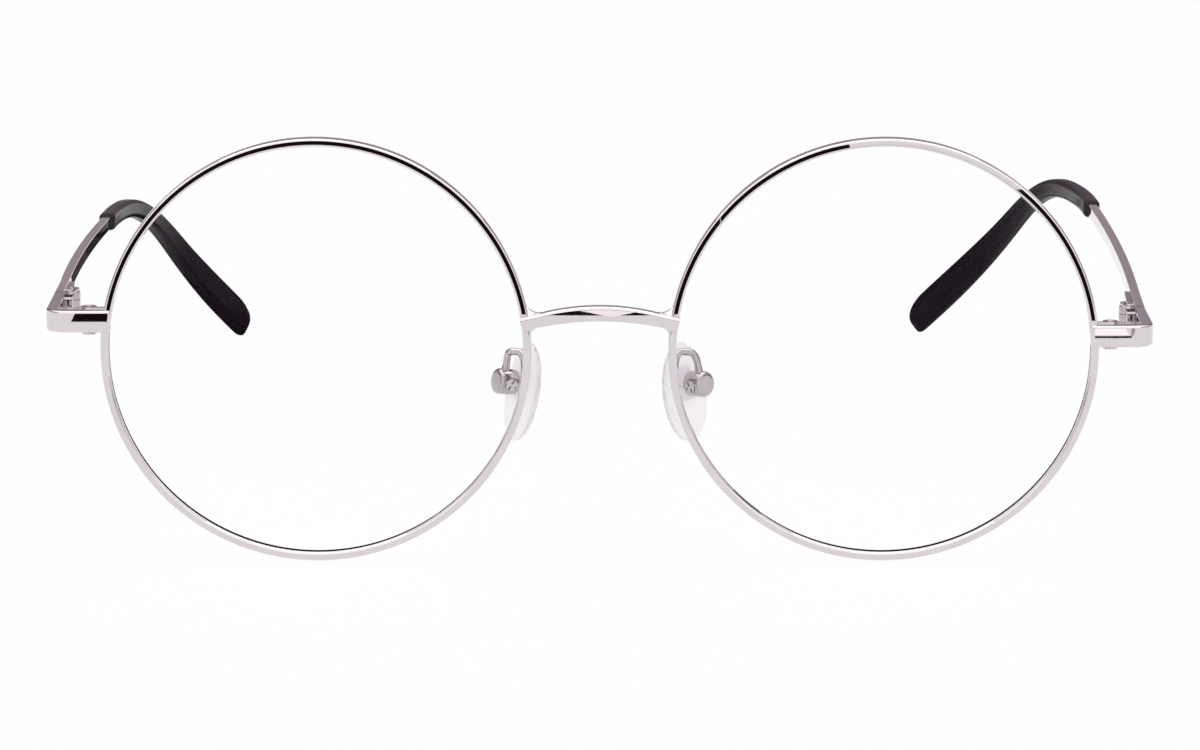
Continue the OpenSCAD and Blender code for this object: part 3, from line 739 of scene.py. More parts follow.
@dataclass
class Front:
    """The rims, the lenses and the bridge.

    edge rounds the rim's section, which has a V groove for the lens, groove deep and twice
    groove_half wide, and the rim is open over slit at the end piece. The lens is a meniscus,
    thick lens_t with a front of radius lens_curve, and its bevel rises by bevel_slope. The
    bridge reaches bridge_half to each side along a radius of bridge_arc. It is bridge_mid_h
    high in the middle, thins by bridge_thinning and flares again by bridge_flare from the
    share flare_from of its half length on. Fillets lead it into the rims where it is bridge_h
    high, fillet above and underfillet below. They start fillet_root inside the metal and reach
    a little past their ends, by fillet_reach, stand fillet_inset behind the bridge's face and
    fall back by fillet_slope.
    """

    edge: float = 0.26
    flat_margin: float = 0.02
    groove: float = 0.65
    groove_half: float = 0.585
    slit: float = 0.25
    steps: int = 288
    lens_body_r: float = 25.35
    lens_t: float = 1.6
    lens_curve: float = 150.0
    lens_rings: int = 20
    lens_steps: int = 144
    bevel_slope: float = 0.9
    bridge_rise: float = 4.7
    bridge_arc: float = 32.0
    bridge_half: float = 9.62
    bridge_h: float = 1.75
    bridge_d: float = 1.6
    bridge_mid_h: float = 1.92
    bridge_thinning: float = 0.3
    bridge_flare: float = 0.42
    flare_from: float = 0.8
    bridge_edge: float = 0.4
    fillet: float = 1.6
    underfillet: float = 1.1
    fillet_root: float = 0.35
    fillet_reach: float = 0.02
    fillet_inset: float = 0.3
    fillet_slope: float = 0.45

    def build(self, finishes: Finishes) -> None:
        """Builds both sides and the bridge.

        Args:
            finishes: the finishes.
        """
        for side in Side:
            self.rim(side, finishes)
            self.lens(side, finishes)
        self.bridge(finishes)

    def rim(self, side: Side, finishes: Finishes) -> None:
        """Spins the rim's grooved section round the lens, from one side of its slit to the other.

        Args:
            side: the side.
            finishes: the finishes.
        """
        s = SIZES
        high = s.rim_out - s.rim_in
        middle = (s.rim_out + s.rim_in) / 2
        inside = -high / 2
        Bench.clear()
        bpy.ops.mesh.primitive_plane_add(size=1)
        piece = bpy.context.object
        piece.name = f"round_rim_{side.value}"
        Bench.edit(piece)
        bpy.ops.mesh.select_all(action="SELECT")
        Bench.stretch(x=high, y=s.rim_d)
        bpy.ops.mesh.bevel(offset=self.edge, segments=5, affect="VERTICES")
        face = high / 2 - self.edge
        Bench.choose(Pick.EDGES, lambda m: abs(m.x) < HAIR)
        bpy.ops.mesh.subdivide(number_cuts=2)
        Bench.choose(Pick.VERTS, lambda m: abs(abs(m.x) - face / 3) < HAIR)
        Bench.stretch(x=3 * (face - self.flat_margin) / face)
        Bench.choose(Pick.EDGES, lambda m: m.x < inside + HAIR)
        bpy.ops.mesh.subdivide(number_cuts=3)
        flat = (s.rim_d - 2 * self.edge) / 4
        Bench.choose(Pick.VERTS, lambda m: m.x < inside + HAIR and abs(abs(m.y) - flat) < HAIR)
        Bench.stretch(y=self.groove_half / flat, about=(inside, 0, 0))
        Bench.choose(Pick.VERTS, lambda m: m.x < inside + HAIR and abs(m.y) < HAIR)
        bpy.ops.transform.translate(value=(self.groove, 0, 0))
        bpy.ops.mesh.select_all(action="SELECT")
        bpy.ops.transform.translate(value=(middle, 0, 0))
        rise = math.asin(HANDS[side].end_rise / middle)
        half = self.slit / 2 / middle
        bpy.ops.mesh.spin(steps=self.steps, angle=2 * math.pi - 2 * half, center=(0, 0, 0),
                          axis=(0, 1, 0))
        bpy.ops.object.mode_set(mode="OBJECT")
        turn = Matrix.Rotation(-(rise + half), 4, "Y")
        Bench.place(piece, side, 30, Matrix.Translation((s.lens_x, 0, s.lens_z)) @ turn)
        Bench.hand_over(piece, "front", "silver_metal", finishes.silver, f"rim_{side.value}")

    def lens(self, side: Side, finishes: Finishes) -> None:
        """Draws half the lens's section point by point and spins it to a meniscus.

        Args:
            side: the side.
            finishes: the finishes.
        """
        s = SIZES
        centre = self.lens_t / 2 - math.sqrt(self.lens_curve ** 2 - self.lens_body_r ** 2)
        bevel = self.bevel_slope * (s.lens_r - self.lens_body_r)
        radii = [self.lens_body_r * i / self.lens_rings for i in range(self.lens_rings + 1)]

        def surface(curve: float) -> list[Vector]:
            """Points of one face, from the axis to the bevel."""
            return [Vector((r, -(centre + math.sqrt(curve ** 2 - r * r)), 0)) for r in radii]

        outline = surface(self.lens_curve)
        outline += [Vector((self.lens_body_r, -bevel, 0)), Vector((s.lens_r, 0, 0)),
                    Vector((self.lens_body_r, bevel, 0))]
        outline += reversed(surface(self.lens_curve - self.lens_t))
        Bench.clear()
        bpy.ops.mesh.primitive_plane_add(size=1)
        piece = bpy.context.object
        piece.name = f"clear_lens_{side.value}"
        Bench.edit(piece)
        bpy.ops.mesh.select_all(action="SELECT")
        bpy.ops.mesh.merge(type="CENTER")
        bpy.ops.transform.translate(value=outline[0])
        for last, now in zip(outline, outline[1:]):
            bpy.ops.mesh.extrude_region_move(TRANSFORM_OT_translate={"value": now - last})
        bpy.ops.mesh.select_all(action="SELECT")
        bpy.ops.mesh.spin(steps=self.lens_steps, angle=2 * math.pi, center=(0, 0, 0), axis=(0, 1, 0))
        bpy.ops.object.mode_set(mode="OBJECT")
        Bench.place(piece, side, 20, Matrix.Translation((s.lens_x, 0, s.lens_z)))
        Bench.hand_over(piece, "front", "clear_lens", finishes.lens, f"lens_{side.value}")

    def bridge(self, finishes: Finishes) -> None:
        """Bends the bridge's bar to its arch and adds the fillets into the rims.

        Args:
            finishes: the finishes.
        """
        s = SIZES
        half = math.asin(self.bridge_half / self.bridge_arc)
        hub_z = s.lens_z + self.bridge_rise - self.bridge_arc
        middle_y = s.front_y + self.bridge_d / 2
        reach = half * self.bridge_arc
        count = 120
        path = [Vector((self.bridge_arc * math.sin(a), middle_y, hub_z + self.bridge_arc * math.cos(a)))
                for a in (half * (i / count * 2 - 1) for i in range(count + 1))]
        stations = []
        for i in range(0, count + 1, 2):
            at = 2 * reach * i / count
            off = abs(at - reach) / reach
            thinned = self.bridge_thinning * min(off / self.flare_from, 1) ** 2
            flared = max((off - self.flare_from) / (1 - self.flare_from), 0) ** 1.5
            high = self.bridge_mid_h - thinned + self.bridge_flare * flared
            stations.append(Station(at, self.bridge_d, high))
        piece = Bench.bar("arched_bridge", stations, self.bridge_edge, 6)
        Bench.bend(piece, path)
        parts = [piece]
        for upper in (True, False):
            corner = self.fillet_piece(upper)
            other = corner.copy()
            other.data = corner.data.copy()
            bpy.context.collection.objects.link(other)
            Bench.activate(other)
            other.scale = (-1, 1, 1)
            bpy.ops.object.transform_apply(scale=True)
            parts += [corner, other]
        piece = Bench.join(parts)
        Bench.place(piece, Side.RIGHT, 35)
        Bench.hand_over(piece, "front", "silver_metal", finishes.silver, "bridge")

    def fillet_piece(self, upper: bool) -> bpy.types.Object:
        """Fans a concave corner between the bridge's edge and the rim.

        Args:
            upper: the corner above the bridge, else the one below.

        Returns:
            The corner piece of the right-hand side.
        """
        s = SIZES
        out = 1 if upper else -1
        r = self.fillet if upper else self.underfillet
        arch = Vector((0, 0, s.lens_z + self.bridge_rise - self.bridge_arc))
        eye = Vector((s.lens_x, 0, s.lens_z))
        edge_r = self.bridge_arc + out * self.bridge_h / 2

        def crossing(from_arch: float, from_eye: float) -> Vector:
            """Finds the upper point where two circles cross.

            Args:
                from_arch: the point's distance from the arch's middle.
                from_eye: its distance from the lens's middle.

            Returns:
                The point.
            """
            gap = eye - arch
            along = gap.normalized()
            a = (from_arch ** 2 - from_eye ** 2 + gap.length ** 2) / (2 * gap.length)
            b = math.sqrt(max(from_arch ** 2 - a * a, 0))
            return arch + along * a + Vector((-along.z, 0, along.x)) * b

        hub = crossing(edge_r + out * r, s.rim_out + r)
        corner = crossing(edge_r, s.rim_out) + Vector((1, 0, -out)) * self.fillet_root
        to_edge = -out * (hub - arch).normalized()
        to_rim = (eye - hub).normalized()
        front = s.front_y + self.fillet_inset
        depth = self.bridge_d - 2 * self.fillet_inset
        shrink = 0.001
        Bench.clear()
        bpy.ops.mesh.primitive_circle_add(vertices=96, radius=r, rotation=(math.pi / 2, 0, 0),
                                          location=(hub.x, front, hub.z))
        piece = bpy.context.object
        bpy.ops.object.transform_apply(location=True, rotation=True)
        Bench.edit(piece)
        between = (to_edge + to_rim).normalized()
        cosine = between.dot(to_edge) - self.fillet_reach
        Bench.choose(Pick.VERTS, lambda m: Vector((m.x - hub.x, 0, m.z - hub.z)).dot(between) / r < cosine)
        bpy.ops.mesh.delete(type="VERT")
        bpy.ops.mesh.select_all(action="SELECT")
        bpy.ops.mesh.extrude_region_move(TRANSFORM_OT_translate={"value": (0, 0, 0)})
        Bench.stretch(x=shrink, z=shrink, about=(corner.x, front, corner.z))
        bpy.ops.mesh.merge(type="CENTER")
        bpy.ops.mesh.select_all(action="SELECT")
        bpy.ops.mesh.extrude_region_move(TRANSFORM_OT_translate={"value": (0, depth, 0)})
        Bench.choose(Pick.VERTS, lambda m: m.y < front + HAIR and (
            Vector((m.x - corner.x, 0, m.z - corner.z)).length > self.fillet_root / 3))
        bpy.ops.transform.translate(value=(0, self.fillet_slope, 0))
        bpy.ops.object.mode_set(mode="OBJECT")
        return piece


@dataclass
class Corner:
    """One side's end piece with its closing block and its half of the hinge.

    start_cuts lists places near the bar's inner end, with what its thickness and its height
    have lost there; from start_len on the bar is whole. hinge_gap parts it from the temple.
    """

    side: Side
    edge: float = 0.22
    soft: float = 0.07
    start_cuts: tuple[tuple[float, float, float], ...] = ((0.0, 0.3, 0.4), (0.06, 0.14, 0.18))
    start_len: float = 0.2
    hinge_gap: float = 0.025

    def build(self, finishes: Finishes) -> None:
        """Builds the side's pieces.

        Args:
            finishes: the finishes.
        """
        self.bar(finishes)
        name = self.side.value
        for node in ("closing_block_upper", "closing_block_lower", "front_hinge"):
            piece = Bench.soften(f"{node}_{name}", f"rounded_{node}_{name}", self.soft)
            Bench.hand_over(piece, "front", "silver_metal", finishes.cast, f"{node}_{name}")
        for node in ("closing_screw", "hinge_screw"):
            piece = Bench.soften(f"{node}_{name}", f"rounded_{node}_{name}", self.soft)
            Bench.hand_over(piece, "front", "screw_steel", finishes.steel, f"{node}_{name}")

    def bar(self, finishes: Finishes) -> None:
        """Bends the end piece's bar from the rim round the corner to the hinge.

        Args:
            finishes: the finishes.
        """
        s = SIZES
        rise = HANDS[self.side].end_rise
        inner = s.lens_x + math.sqrt(s.rim_in ** 2 - rise ** 2)
        z = s.lens_z + rise
        middle = s.end_t / 2
        bend_r = s.end_corner - middle
        corner = Vector((s.front_x - s.end_corner, s.front_y + s.end_corner, z))
        leg, arc = 12, 48
        path = [Vector((inner + (corner.x - inner) * i / leg, s.front_y + middle, z)) for i in range(leg)]
        path += [corner + Vector((math.sin(a), -math.cos(a), 0)) * bend_r
                 for a in (math.pi / 2 * i / arc for i in range(arc + 1))]
        back = s.hinge_back - self.hinge_gap
        path += [Vector((corner.x + bend_r, corner.y + (back - corner.y) * i / leg, z))
                 for i in range(1, leg + 1)]
        length = sum((b - a).length for a, b in zip(path, path[1:]))
        count = 60
        stations = [Station(at, s.end_t - thin, s.end_h - low) for at, thin, low in self.start_cuts]
        stations += [Station(self.start_len + (length - self.start_len) * i / count, s.end_t, s.end_h)
                     for i in range(count + 1)]
        piece = Bench.bar(f"corner_bar_{self.side.value}", stations, self.edge, 6)
        Bench.bend(piece, path)
        Bench.place(piece, self.side, 40)
        Bench.hand_over(piece, "front", "silver_metal", finishes.silver, f"end_piece_{self.side.value}")


@dataclass
class Temple:
    """One side's temple: metal strip with its wire core, hinge leaf and plastic tip.

    The strip starts start behind the hinge, keeps the end piece's height up to square_len and
    narrows from there. At the tip's mouth it steps down, over core_step, to the wire core,
    which ends core_short before the tip does. The tip swells by swell over the share swell_to
    of its length and widens between the shares wide_from and wide_to. Its mouth is rounded by
    mouth_lip over the share mouth_squash of that, and its end over end_round.
    """

    side: Side
    edge: float = 0.22
    soft: float = 0.07
    start: float = 0.125
    square_len: float = 2.0
    taper_extra: float = 0.2
    core_t: float = 0.9
    core_h: float = 1.2
    core_step: float = 0.01
    core_short: float = 9.0
    swell: float = 0.15
    swell_to: float = 0.35
    wide_from: float = 0.4
    wide_to: float = 0.9
    mouth_gap: float = 0.05
    mouth_lip: float = 0.45
    mouth_squash: float = 0.8
    mouth_len: float = 1.0
    tip_edge: float = 0.6
    end_round: float = 5.0
    end_thinning: float = 2.6
    end_face: float = 0.42
    end_lip: float = 0.8

    def build(self, finishes: Finishes) -> None:
        """Builds the side's pieces.

        Args:
            finishes: the finishes.
        """
        self.strip(finishes)
        self.tip(finishes)
        name = self.side.value
        leaf = Bench.soften(f"temple_hinge_{name}", f"rounded_leaf_{name}", self.soft)
        Bench.hand_over(leaf, f"temple_body_{name}", "silver_metal", finishes.cast, f"temple_hinge_{name}")

    def strip(self, finishes: Finishes) -> None:
        """Draws out the metal strip and the wire core that goes on into the tip.

        Args:
            finishes: the finishes.
        """
        s = SIZES
        line = Line(HANDS[self.side])
        taper = [(self.start, s.end_h), (self.square_len, s.end_h),
                 (s.taper_len, s.temple_h + self.taper_extra), (s.bare_len, s.temple_h)]
        stations = []
        for (a, high_a), (b, high_b) in zip(taper, taper[1:]):
            count = max(1, round((b - a) / 2))
            for i in range(count):
                high = high_a + (high_b - high_a) * i / count
                stations.append(Station(a + (b - a) * i / count, s.temple_t, high))
        stations.append(Station(s.bare_len, s.temple_t, s.temple_h))
        stations.append(Station(s.bare_len + self.core_step, self.core_t, self.core_h))
        core_end = s.temple_len - self.core_short
        count = 30
        stations += [Station(s.bare_len + (core_end - s.bare_len) * i / count, self.core_t, self.core_h)
                     for i in range(1, count + 1)]
        piece = Bench.bar(f"temple_strip_{self.side.value}", stations, self.edge, 3)
        Bench.bend(piece, line.points(0, core_end))
        Bench.place(piece, self.side, 35)
        Bench.hand_over(piece, f"temple_body_{self.side.value}", "silver_metal", finishes.silver,
                        f"temple_{self.side.value}")

    def tip_height(self, at: float) -> float:
        """Works out the tip's height, without the rounding of its ends.

        Args:
            at: length from the tip's mouth.

        Returns:
            The height.
        """
        s = SIZES
        share = at / (s.temple_len - s.bare_len)
        wide = min(max((share - self.wide_from) / (self.wide_to - self.wide_from), 0.0), 1.0)
        swollen = s.tip_mouth_h + self.swell * min(share / self.swell_to, 1.0)
        return swollen + (s.tip_end_h - s.tip_mouth_h - self.swell) * wide * wide * (3 - 2 * wide)

    def tip_end(self, length: float, rings: int = 17) -> list[Station]:
        """Sections of the tip's end: thinned all round, cut down from above, lipped below.

        Args:
            length: the tip's length.
            rings: how many sections.

        Returns:
            The sections.
        """
        stations = []
        for i in range(1, rings + 1):
            a = math.pi / 2 * i / (rings + 0.6)
            left = self.end_round * (1 - math.sin(a))
            thin = math.sqrt(1 - max(1 - self.end_thinning * left / self.end_round, 0) ** 2)
            full = self.tip_height(length - left)
            above = full * (1 - self.end_face) * (1 - math.cos(a))
            below = self.end_lip - math.sqrt(self.end_lip ** 2 - max(self.end_lip - left, 0) ** 2)
            stations.append(Station(length - left, SIZES.tip_t * thin, full - above - below,
                                    (below - above) / 2))
        return stations

    def tip(self, finishes: Finishes) -> None:
        """Draws out the plastic tip with a rounded mouth and a paddle-shaped end.

        Args:
            finishes: the finishes.
        """
        s = SIZES
        length = s.temple_len - s.bare_len
        stations = []
        rings = 5
        for i in range(rings + 1):
            a = math.pi / 2 * i / rings
            cut = self.mouth_lip * (1 - math.sin(a))
            at = self.mouth_gap + self.mouth_squash * self.mouth_lip * (1 - math.cos(a))
            stations.append(Station(at, s.tip_t - cut, s.tip_mouth_h - cut))
        count = 44
        body = length - 1.05 * self.end_round - self.mouth_len
        places = [self.mouth_len + body * i / count for i in range(count + 1)]
        stations += [Station(at, s.tip_t, self.tip_height(at)) for at in places]
        stations += self.tip_end(length)
        piece = Bench.bar(f"black_tip_{self.side.value}", stations, self.tip_edge, 5)
        Bench.bend(piece, Line(HANDS[self.side]).points(s.bare_len, s.temple_len))
        Bench.place(piece, self.side, 50)
        Bench.hand_over(piece, f"temple_body_{self.side.value}", "black_tip", finishes.black,
                        f"temple_tip_{self.side.value}")


@dataclass
class PadSet:
    """One side's nose pad with its arm, box and screw.

    The arm leaves the rim foot_drop below the lens's middle, goes back by foot_lead, over the
    bow at bow_in, bow_back and bow_rise from its foot, and comes down seat_lead onto the box.
    Its ends are thicker, as where solder runs up. The pad is an oval, bulging by crown towards
    the nose and by back towards the arm. The edges of the box, the screw and the insert are
    rounded by box_soft, screw_soft and insert_soft.
    """

    side: Side
    arm_r: float = 0.45
    foot_drop: float = 4.8
    foot_lead: float = 2.6
    bow_in: float = 0.9
    bow_back: float = 3.9
    bow_rise: float = 3.6
    bow_sweep: tuple[float, float, float] = (1.35, 0.4, 0.0)
    seat_in: float = 0.3
    seat_gap: float = 0.05
    seat_lead: float = 2.2
    foot_round: float = 1.3
    foot_swell: float = 0.35
    foot_swell_len: float = 0.7
    seat_swell: float = 0.2
    seat_swell_len: float = 0.8
    pad_h: float = 12.6
    pad_w: float = 7.4
    crown: float = 1.5
    back: float = 0.9
    box_soft: float = 0.08
    screw_soft: float = 0.04
    insert_soft: float = 0.12

    def build(self, finishes: Finishes) -> None:
        """Builds the side's pieces.

        Args:
            finishes: the finishes.
        """
        name = self.side.value
        self.arm(finishes)
        self.pad(finishes)
        box = Bench.soften(f"pad_box_{name}", f"rounded_box_{name}", self.box_soft)
        Bench.hand_over(box, "front", "silver_metal", finishes.cast, f"pad_box_{name}")
        screw = Bench.soften(f"pad_screw_{name}", f"rounded_pad_screw_{name}", self.screw_soft)
        Bench.hand_over(screw, "front", "screw_steel", finishes.steel, f"pad_screw_{name}")
        insert = Bench.soften(f"pad_insert_{name}", f"rounded_insert_{name}", self.insert_soft)
        Bench.hand_over(insert, f"pad_body_{name}", "pad_core", finishes.core, f"pad_insert_{name}")

    def own_frame(self) -> Matrix:
        """The pad's own frame: x into the nose, y to the pad's front edge, z up."""
        s, h = SIZES, HANDS[self.side]
        return (Matrix.Translation((h.pad_x, s.pad_y, s.lens_z - s.pad_drop))
                @ Matrix.Rotation(math.radians(-h.lean), 4, "Y")
                @ Matrix.Rotation(math.radians(180 - h.splay), 4, "Z"))

    def arm(self, finishes: Finishes) -> None:
        """Bends the wire from the rim's back, up over its bow and down to the pad box.

        Args:
            finishes: the finishes.
        """
        s = SIZES
        own = self.own_frame()
        middle = (s.rim_in + s.rim_out) / 2
        foot = Vector((s.lens_x - math.sqrt(middle ** 2 - self.foot_drop ** 2), s.rim_d / 2,
                       s.lens_z - self.foot_drop))
        top = foot + Vector((self.bow_in, self.bow_back, self.bow_rise))
        seat = own @ Vector((s.pad_screw_x - self.seat_in, 0, s.box_rise + s.box_r + self.seat_gap))
        rise = own.to_3x3() @ Vector((0, 0, self.seat_lead))
        bow = Vector(self.bow_sweep)
        legs = [(foot, foot + Vector((0, self.foot_lead, 0)), top - bow, top),
                (top, top + bow, seat + rise, seat)]
        path = []
        steps = 40
        for a, b, c, d in legs:
            for t in (i / steps for i in range(steps)):
                u = 1 - t
                path.append(a * u ** 3 + b * 3 * t * u ** 2 + c * 3 * t ** 2 * u + d * t ** 3)
        path.append(seat - rise * 0.1)
        length = sum((b - a).length for a, b in zip(path, path[1:]))
        count = 64
        stations = []
        for i in range(count + 1):
            at = length * i / count
            foot_swell = self.foot_swell * max(0, 1 - at / self.foot_swell_len)
            seat_swell = self.seat_swell * max(0, 1 - (length - at) / self.seat_swell_len)
            thick = 2 * self.arm_r * (1 + foot_swell + seat_swell)
            stations.append(Station(at, thick, thick))
        piece = Bench.bar(f"pad_wire_{self.side.value}", stations, self.arm_r * self.foot_round, 5)
        Bench.bend(piece, path, upright=False)
        Bench.place(piece, self.side, 60)
        Bench.hand_over(piece, "front", "silver_metal", finishes.cast, f"pad_arm_{self.side.value}")

    def pad(self, finishes: Finishes) -> None:
        """Shapes the oval cushion, rounder towards the nose than towards the arm.

        Args:
            finishes: the finishes.
        """
        Bench.clear()
        bpy.ops.mesh.primitive_uv_sphere_add(segments=64, ring_count=40, radius=1)
        piece = bpy.context.object
        piece.name = f"silicone_pad_{self.side.value}"
        Bench.edit(piece)
        bpy.ops.mesh.select_all(action="SELECT")
        Bench.stretch(y=self.pad_w / 2, z=self.pad_h / 2)
        Bench.choose(Pick.VERTS, lambda m: m.x > HAIR)
        Bench.stretch(x=self.crown)
        Bench.choose(Pick.VERTS, lambda m: m.x < -HAIR)
        Bench.stretch(x=self.back)
        bpy.ops.object.mode_set(mode="OBJECT")
        Bench.place(piece, self.side, 60, self.own_frame())
        Bench.hand_over(piece, f"pad_body_{self.side.value}", "clear_pad", finishes.pad,
                        f"nose_pad_{self.side.value}")


@dataclass(frozen=True)
class Card:
    """A glowing sheet, no lamp, that only mirrored rays see and so paints a reflection: middle and size in
    metres, brightness, turn in degrees.
    """

    name: str
    middle: tuple[float, float, float]
    size: tuple[float, float]
    tint: Tint
    turn: float = 0.0
    upright: bool = False


# Colour of the sheets that paint dark reflections on the metal.
PAINTED_DARK: Tint = (0.010, 0.005, 0.007)
# Painted reflections: the dark cards paint dark bands, the bright ones paint glints and highlights, and
# the grey ones paint walls.
PAINTED_REFLECTION_CARDS = (
    Card("painted_dark_band_left", (-0.0498, -0.2729, 0.0006), (0.0596, 0.1142), PAINTED_DARK),
    Card("painted_dark_band_middle", (0.0, -0.2753, 0.0006), (0.04, 0.1094), PAINTED_DARK),
    Card("painted_dark_band_right", (0.0548, -0.2729, 0.0006), (0.0694, 0.1142), PAINTED_DARK),
    Card("painted_dark_band_far", (-0.0173, -1.33, 0.0006), (0.1246, 2.0), PAINTED_DARK),
    Card("painted_dim_band_right", (0.0925, -0.2130, 0.0005), (0.025, 0.016), (0.45, 0.42, 0.43)),
    # Painted glint on the bridge: a bright sheet, no lamp, that only the metal mirrors.
    Card("painted_glint_bridge", (0.0018, -0.2262, 0.0008), (0.011, 0.011), (1.3, 1.25, 1.25), 45.0),
    Card("painted_dark_line_right", (0.0762, -0.2044, 0.0006), (0.0116, 0.0015), PAINTED_DARK),
    # Painted glint on the right end piece, then a painted highlight along the right rim.
    Card("painted_glint_right", (0.0757, -0.2088, 0.0007), (0.0058, 0.0070), (1.5, 1.4, 1.4)),
    Card("painted_highlight_rim_right", (0.0857, -0.3034, 0.0008), (0.020, 0.065), (1.1, 1.05, 1.05), -5.3),
    Card("painted_dark_inner_left", (-0.050, 0.11, 0.0006), (0.03, 0.10), (0.06, 0.04, 0.05)),
    # Painted highlight of a soft box: a glowing sheet that lights nothing.
    Card("painted_soft_box_highlight", (0, -2.4, 0.95), (5.0, 1.7), (1.5, 1.47, 1.48), upright=True),
    # Painted reflections of grey walls on the temples' sides and tops; these walls light nothing.
    Card("painted_wall_reflection_left", (-1.9, 0.0, 0.6), (3.6, 1.2), (0.42, 0.38, 0.40), 90.0, upright=True),
    Card("painted_wall_reflection_right", (1.9, 0.0, 0.6), (3.6, 1.2), (0.42, 0.38, 0.40), 90.0, upright=True),
    Card("painted_dark_back_high", (0, 2.38, 1.8), (5.0, 1.6), (0.10, 0.08, 0.09), upright=True),
    Card("painted_wall_reflection_back", (0, 2.4, 0.5), (5.0, 1.0), (0.345, 0.287, 0.32), upright=True),
)


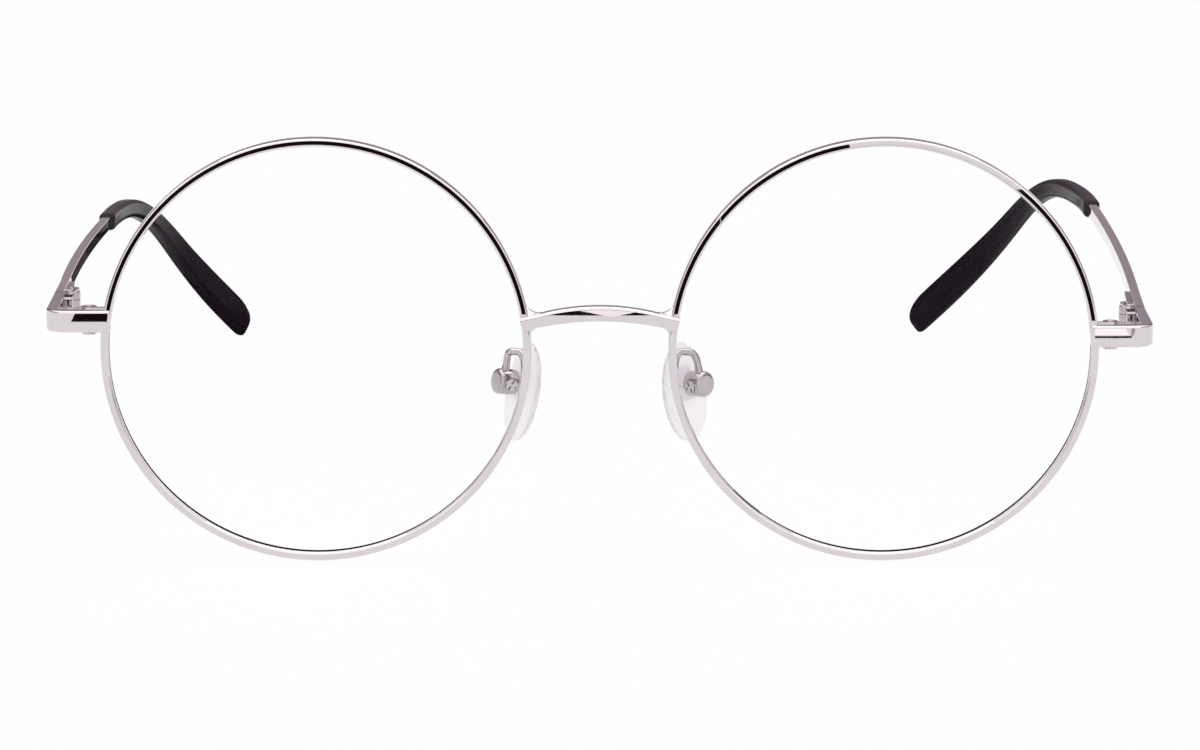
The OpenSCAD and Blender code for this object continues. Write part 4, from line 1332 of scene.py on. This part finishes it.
@dataclass
class Studio:
    """The table, the light, the glowing cards that paint reflections on the metal, and the camera.

    The camera looks down by tilt, in degrees, from a distance in millimetres. In the photograph,
    width by height pixels, the middle between the lenses is at the pixel eye_column, eye_row.
    The room lights the glasses by room_light, and table_share of the table is seen as white.
    The table and the lamp are measured in metres, and the lamp's power in watts.
    """

    distance: float = 650.0
    tilt: float = 12.0
    pixels_per_mm: float = 8.15
    width: int = 1200
    height: int = 750
    eye_row: float = 350.0
    eye_column: float = 599.8
    sensor: float = 36.0
    room_light: float = 0.5
    table_tint: Tint = (0.9, 0.9, 0.9)
    table_share: float = 0.97
    table_size: float = 12.0
    table_gap: float = 0.0001
    lamp_place: tuple[float, float, float] = (0.0, 0.1, 0.95)
    lamp_size: float = 1.3
    lamp_power: float = 5.0

    def build(self) -> None:
        """Builds the whole studio."""
        self.world()
        self.floor()
        for card in PAINTED_REFLECTION_CARDS:
            self.card(card)
        self.lamp()
        self.camera()

    def world(self) -> None:
        """White where it is seen or mirrored, softer as a source of light."""
        world = bpy.data.worlds.new("white_room")
        bpy.context.scene.world = world
        world.use_nodes = True
        tree = world.node_tree
        tree.nodes.clear()
        mix = tree.nodes.new("ShaderNodeMixShader")
        tree.links.new(self.seen_factor(tree), mix.inputs[0])
        for strength, socket in ((self.room_light, mix.inputs[1]), (1.0, mix.inputs[2])):
            white = tree.nodes.new("ShaderNodeBackground")
            white.inputs["Color"].default_value = (1, 1, 1, 1)
            white.inputs["Strength"].default_value = strength
            tree.links.new(white.outputs[0], socket)
        out = tree.nodes.new("ShaderNodeOutputWorld")
        tree.links.new(mix.outputs[0], out.inputs[0])

    @staticmethod
    def seen_factor(tree: bpy.types.NodeTree) -> bpy.types.NodeSocket:
        """Adds a factor that is 1 for camera, glossy and transmission rays.

        Args:
            tree: the node tree.

        Returns:
            The factor's socket.
        """
        path = tree.nodes.new("ShaderNodeLightPath")
        seen = path.outputs["Is Camera Ray"]
        for kind in ("Is Glossy Ray", "Is Transmission Ray"):
            either = tree.nodes.new("ShaderNodeMath")
            either.operation = "ADD"
            either.use_clamp = True
            tree.links.new(seen, either.inputs[0])
            tree.links.new(path.outputs[kind], either.inputs[1])
            seen = either.outputs[0]
        return seen

    def floor(self) -> None:
        """A pale table top that keeps the object's shadow."""
        Bench.clear()
        bpy.ops.mesh.primitive_plane_add(size=self.table_size, location=(0, 0, -self.table_gap))
        table = bpy.context.object
        table.name = "table_top"
        g = Graph("pale_table")
        matt = g.add("ShaderNodeBsdfDiffuse", Color=(*self.table_tint, 1))
        glow = g.add("ShaderNodeEmission", Color=(1, 1, 1, 1), Strength=1.0)
        share = g.add("ShaderNodeMath", operation="MULTIPLY")
        share.inputs[1].default_value = self.table_share
        g.wire(self.seen_factor(g.tree), share.inputs[0])
        mix = g.add("ShaderNodeMixShader")
        g.wire(share.outputs[0], mix.inputs[0])
        g.wire(matt.outputs[0], mix.inputs[1])
        g.wire(glow.outputs[0], mix.inputs[2])
        g.wire(mix.outputs[0], g.out.inputs[0])
        table.data.materials.append(g.material)

    def card(self, card: Card) -> None:
        """Sets up a glowing card that paints a reflection and is seen nowhere else.

        Args:
            card: what to set up.
        """
        Bench.clear()
        turn = (math.pi / 2 if card.upright else 0, 0, math.radians(card.turn))
        bpy.ops.mesh.primitive_plane_add(size=1, location=card.middle, rotation=turn)
        sheet = bpy.context.object
        sheet.name = card.name
        sheet.scale = (*card.size, 1)
        g = Graph(card.name)
        glow = g.add("ShaderNodeEmission", Color=(*card.tint, 1), Strength=1.0)
        g.wire(glow.outputs[0], g.out.inputs[0])
        sheet.data.materials.append(g.material)
        for flag in ("camera", "diffuse", "shadow", "transmission", "volume_scatter"):
            setattr(sheet, f"visible_{flag}", False)

    def lamp(self) -> None:
        """Hangs a soft square lamp over the glasses."""
        light = bpy.data.lights.new("overhead", "AREA")
        light.size = self.lamp_size
        light.energy = self.lamp_power
        lamp = bpy.data.objects.new("overhead", light)
        lamp.location = self.lamp_place
        bpy.context.collection.objects.link(lamp)

    def camera(self) -> None:
        """Sets up the photograph's view."""
        focal = self.pixels_per_mm * self.distance
        e = math.radians(self.tilt)
        ahead = Vector((0, math.cos(e), -math.sin(e)))
        up = Vector((0, math.sin(e), math.cos(e)))
        down = (self.height / 2 - self.eye_row) / focal * self.distance
        across = (self.eye_column - self.width / 2) / focal * self.distance
        eye = Vector((0, 0, SIZES.lens_z)) - ahead * self.distance - up * down - Vector((across, 0, 0))
        view = bpy.data.cameras.new("photo_view")
        view.sensor_width = self.sensor
        view.lens = focal / self.width * self.sensor
        view.clip_start = 0.01
        view.clip_end = 50
        lens = bpy.data.objects.new("photo_view", view)
        lens.location = (eye + Vector((0, Bench.lens_plane, 0))) * MM
        lens.rotation_euler = (math.pi / 2 - e, 0, 0)
        bpy.context.collection.objects.link(lens)
        bpy.context.scene.camera = lens


def main() -> None:
    """Builds the glasses and the studio."""
    logging.basicConfig(level=logging.INFO, format="%(name)s %(message)s")
    bpy.context.scene.view_settings.view_transform = "Standard"
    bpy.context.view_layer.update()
    Bench.lens_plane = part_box("bridge")[0][1] / MM - SIZES.front_y
    log.info("lens plane at y = %.3f mm", Bench.lens_plane)
    Studio().build()
    finishes = make_finishes()
    Front().build(finishes)
    for side in Side:
        Corner(side).build(finishes)
        Temple(side).build(finishes)
        PadSet(side).build(finishes)


if __name__ == "__main__":
    main()
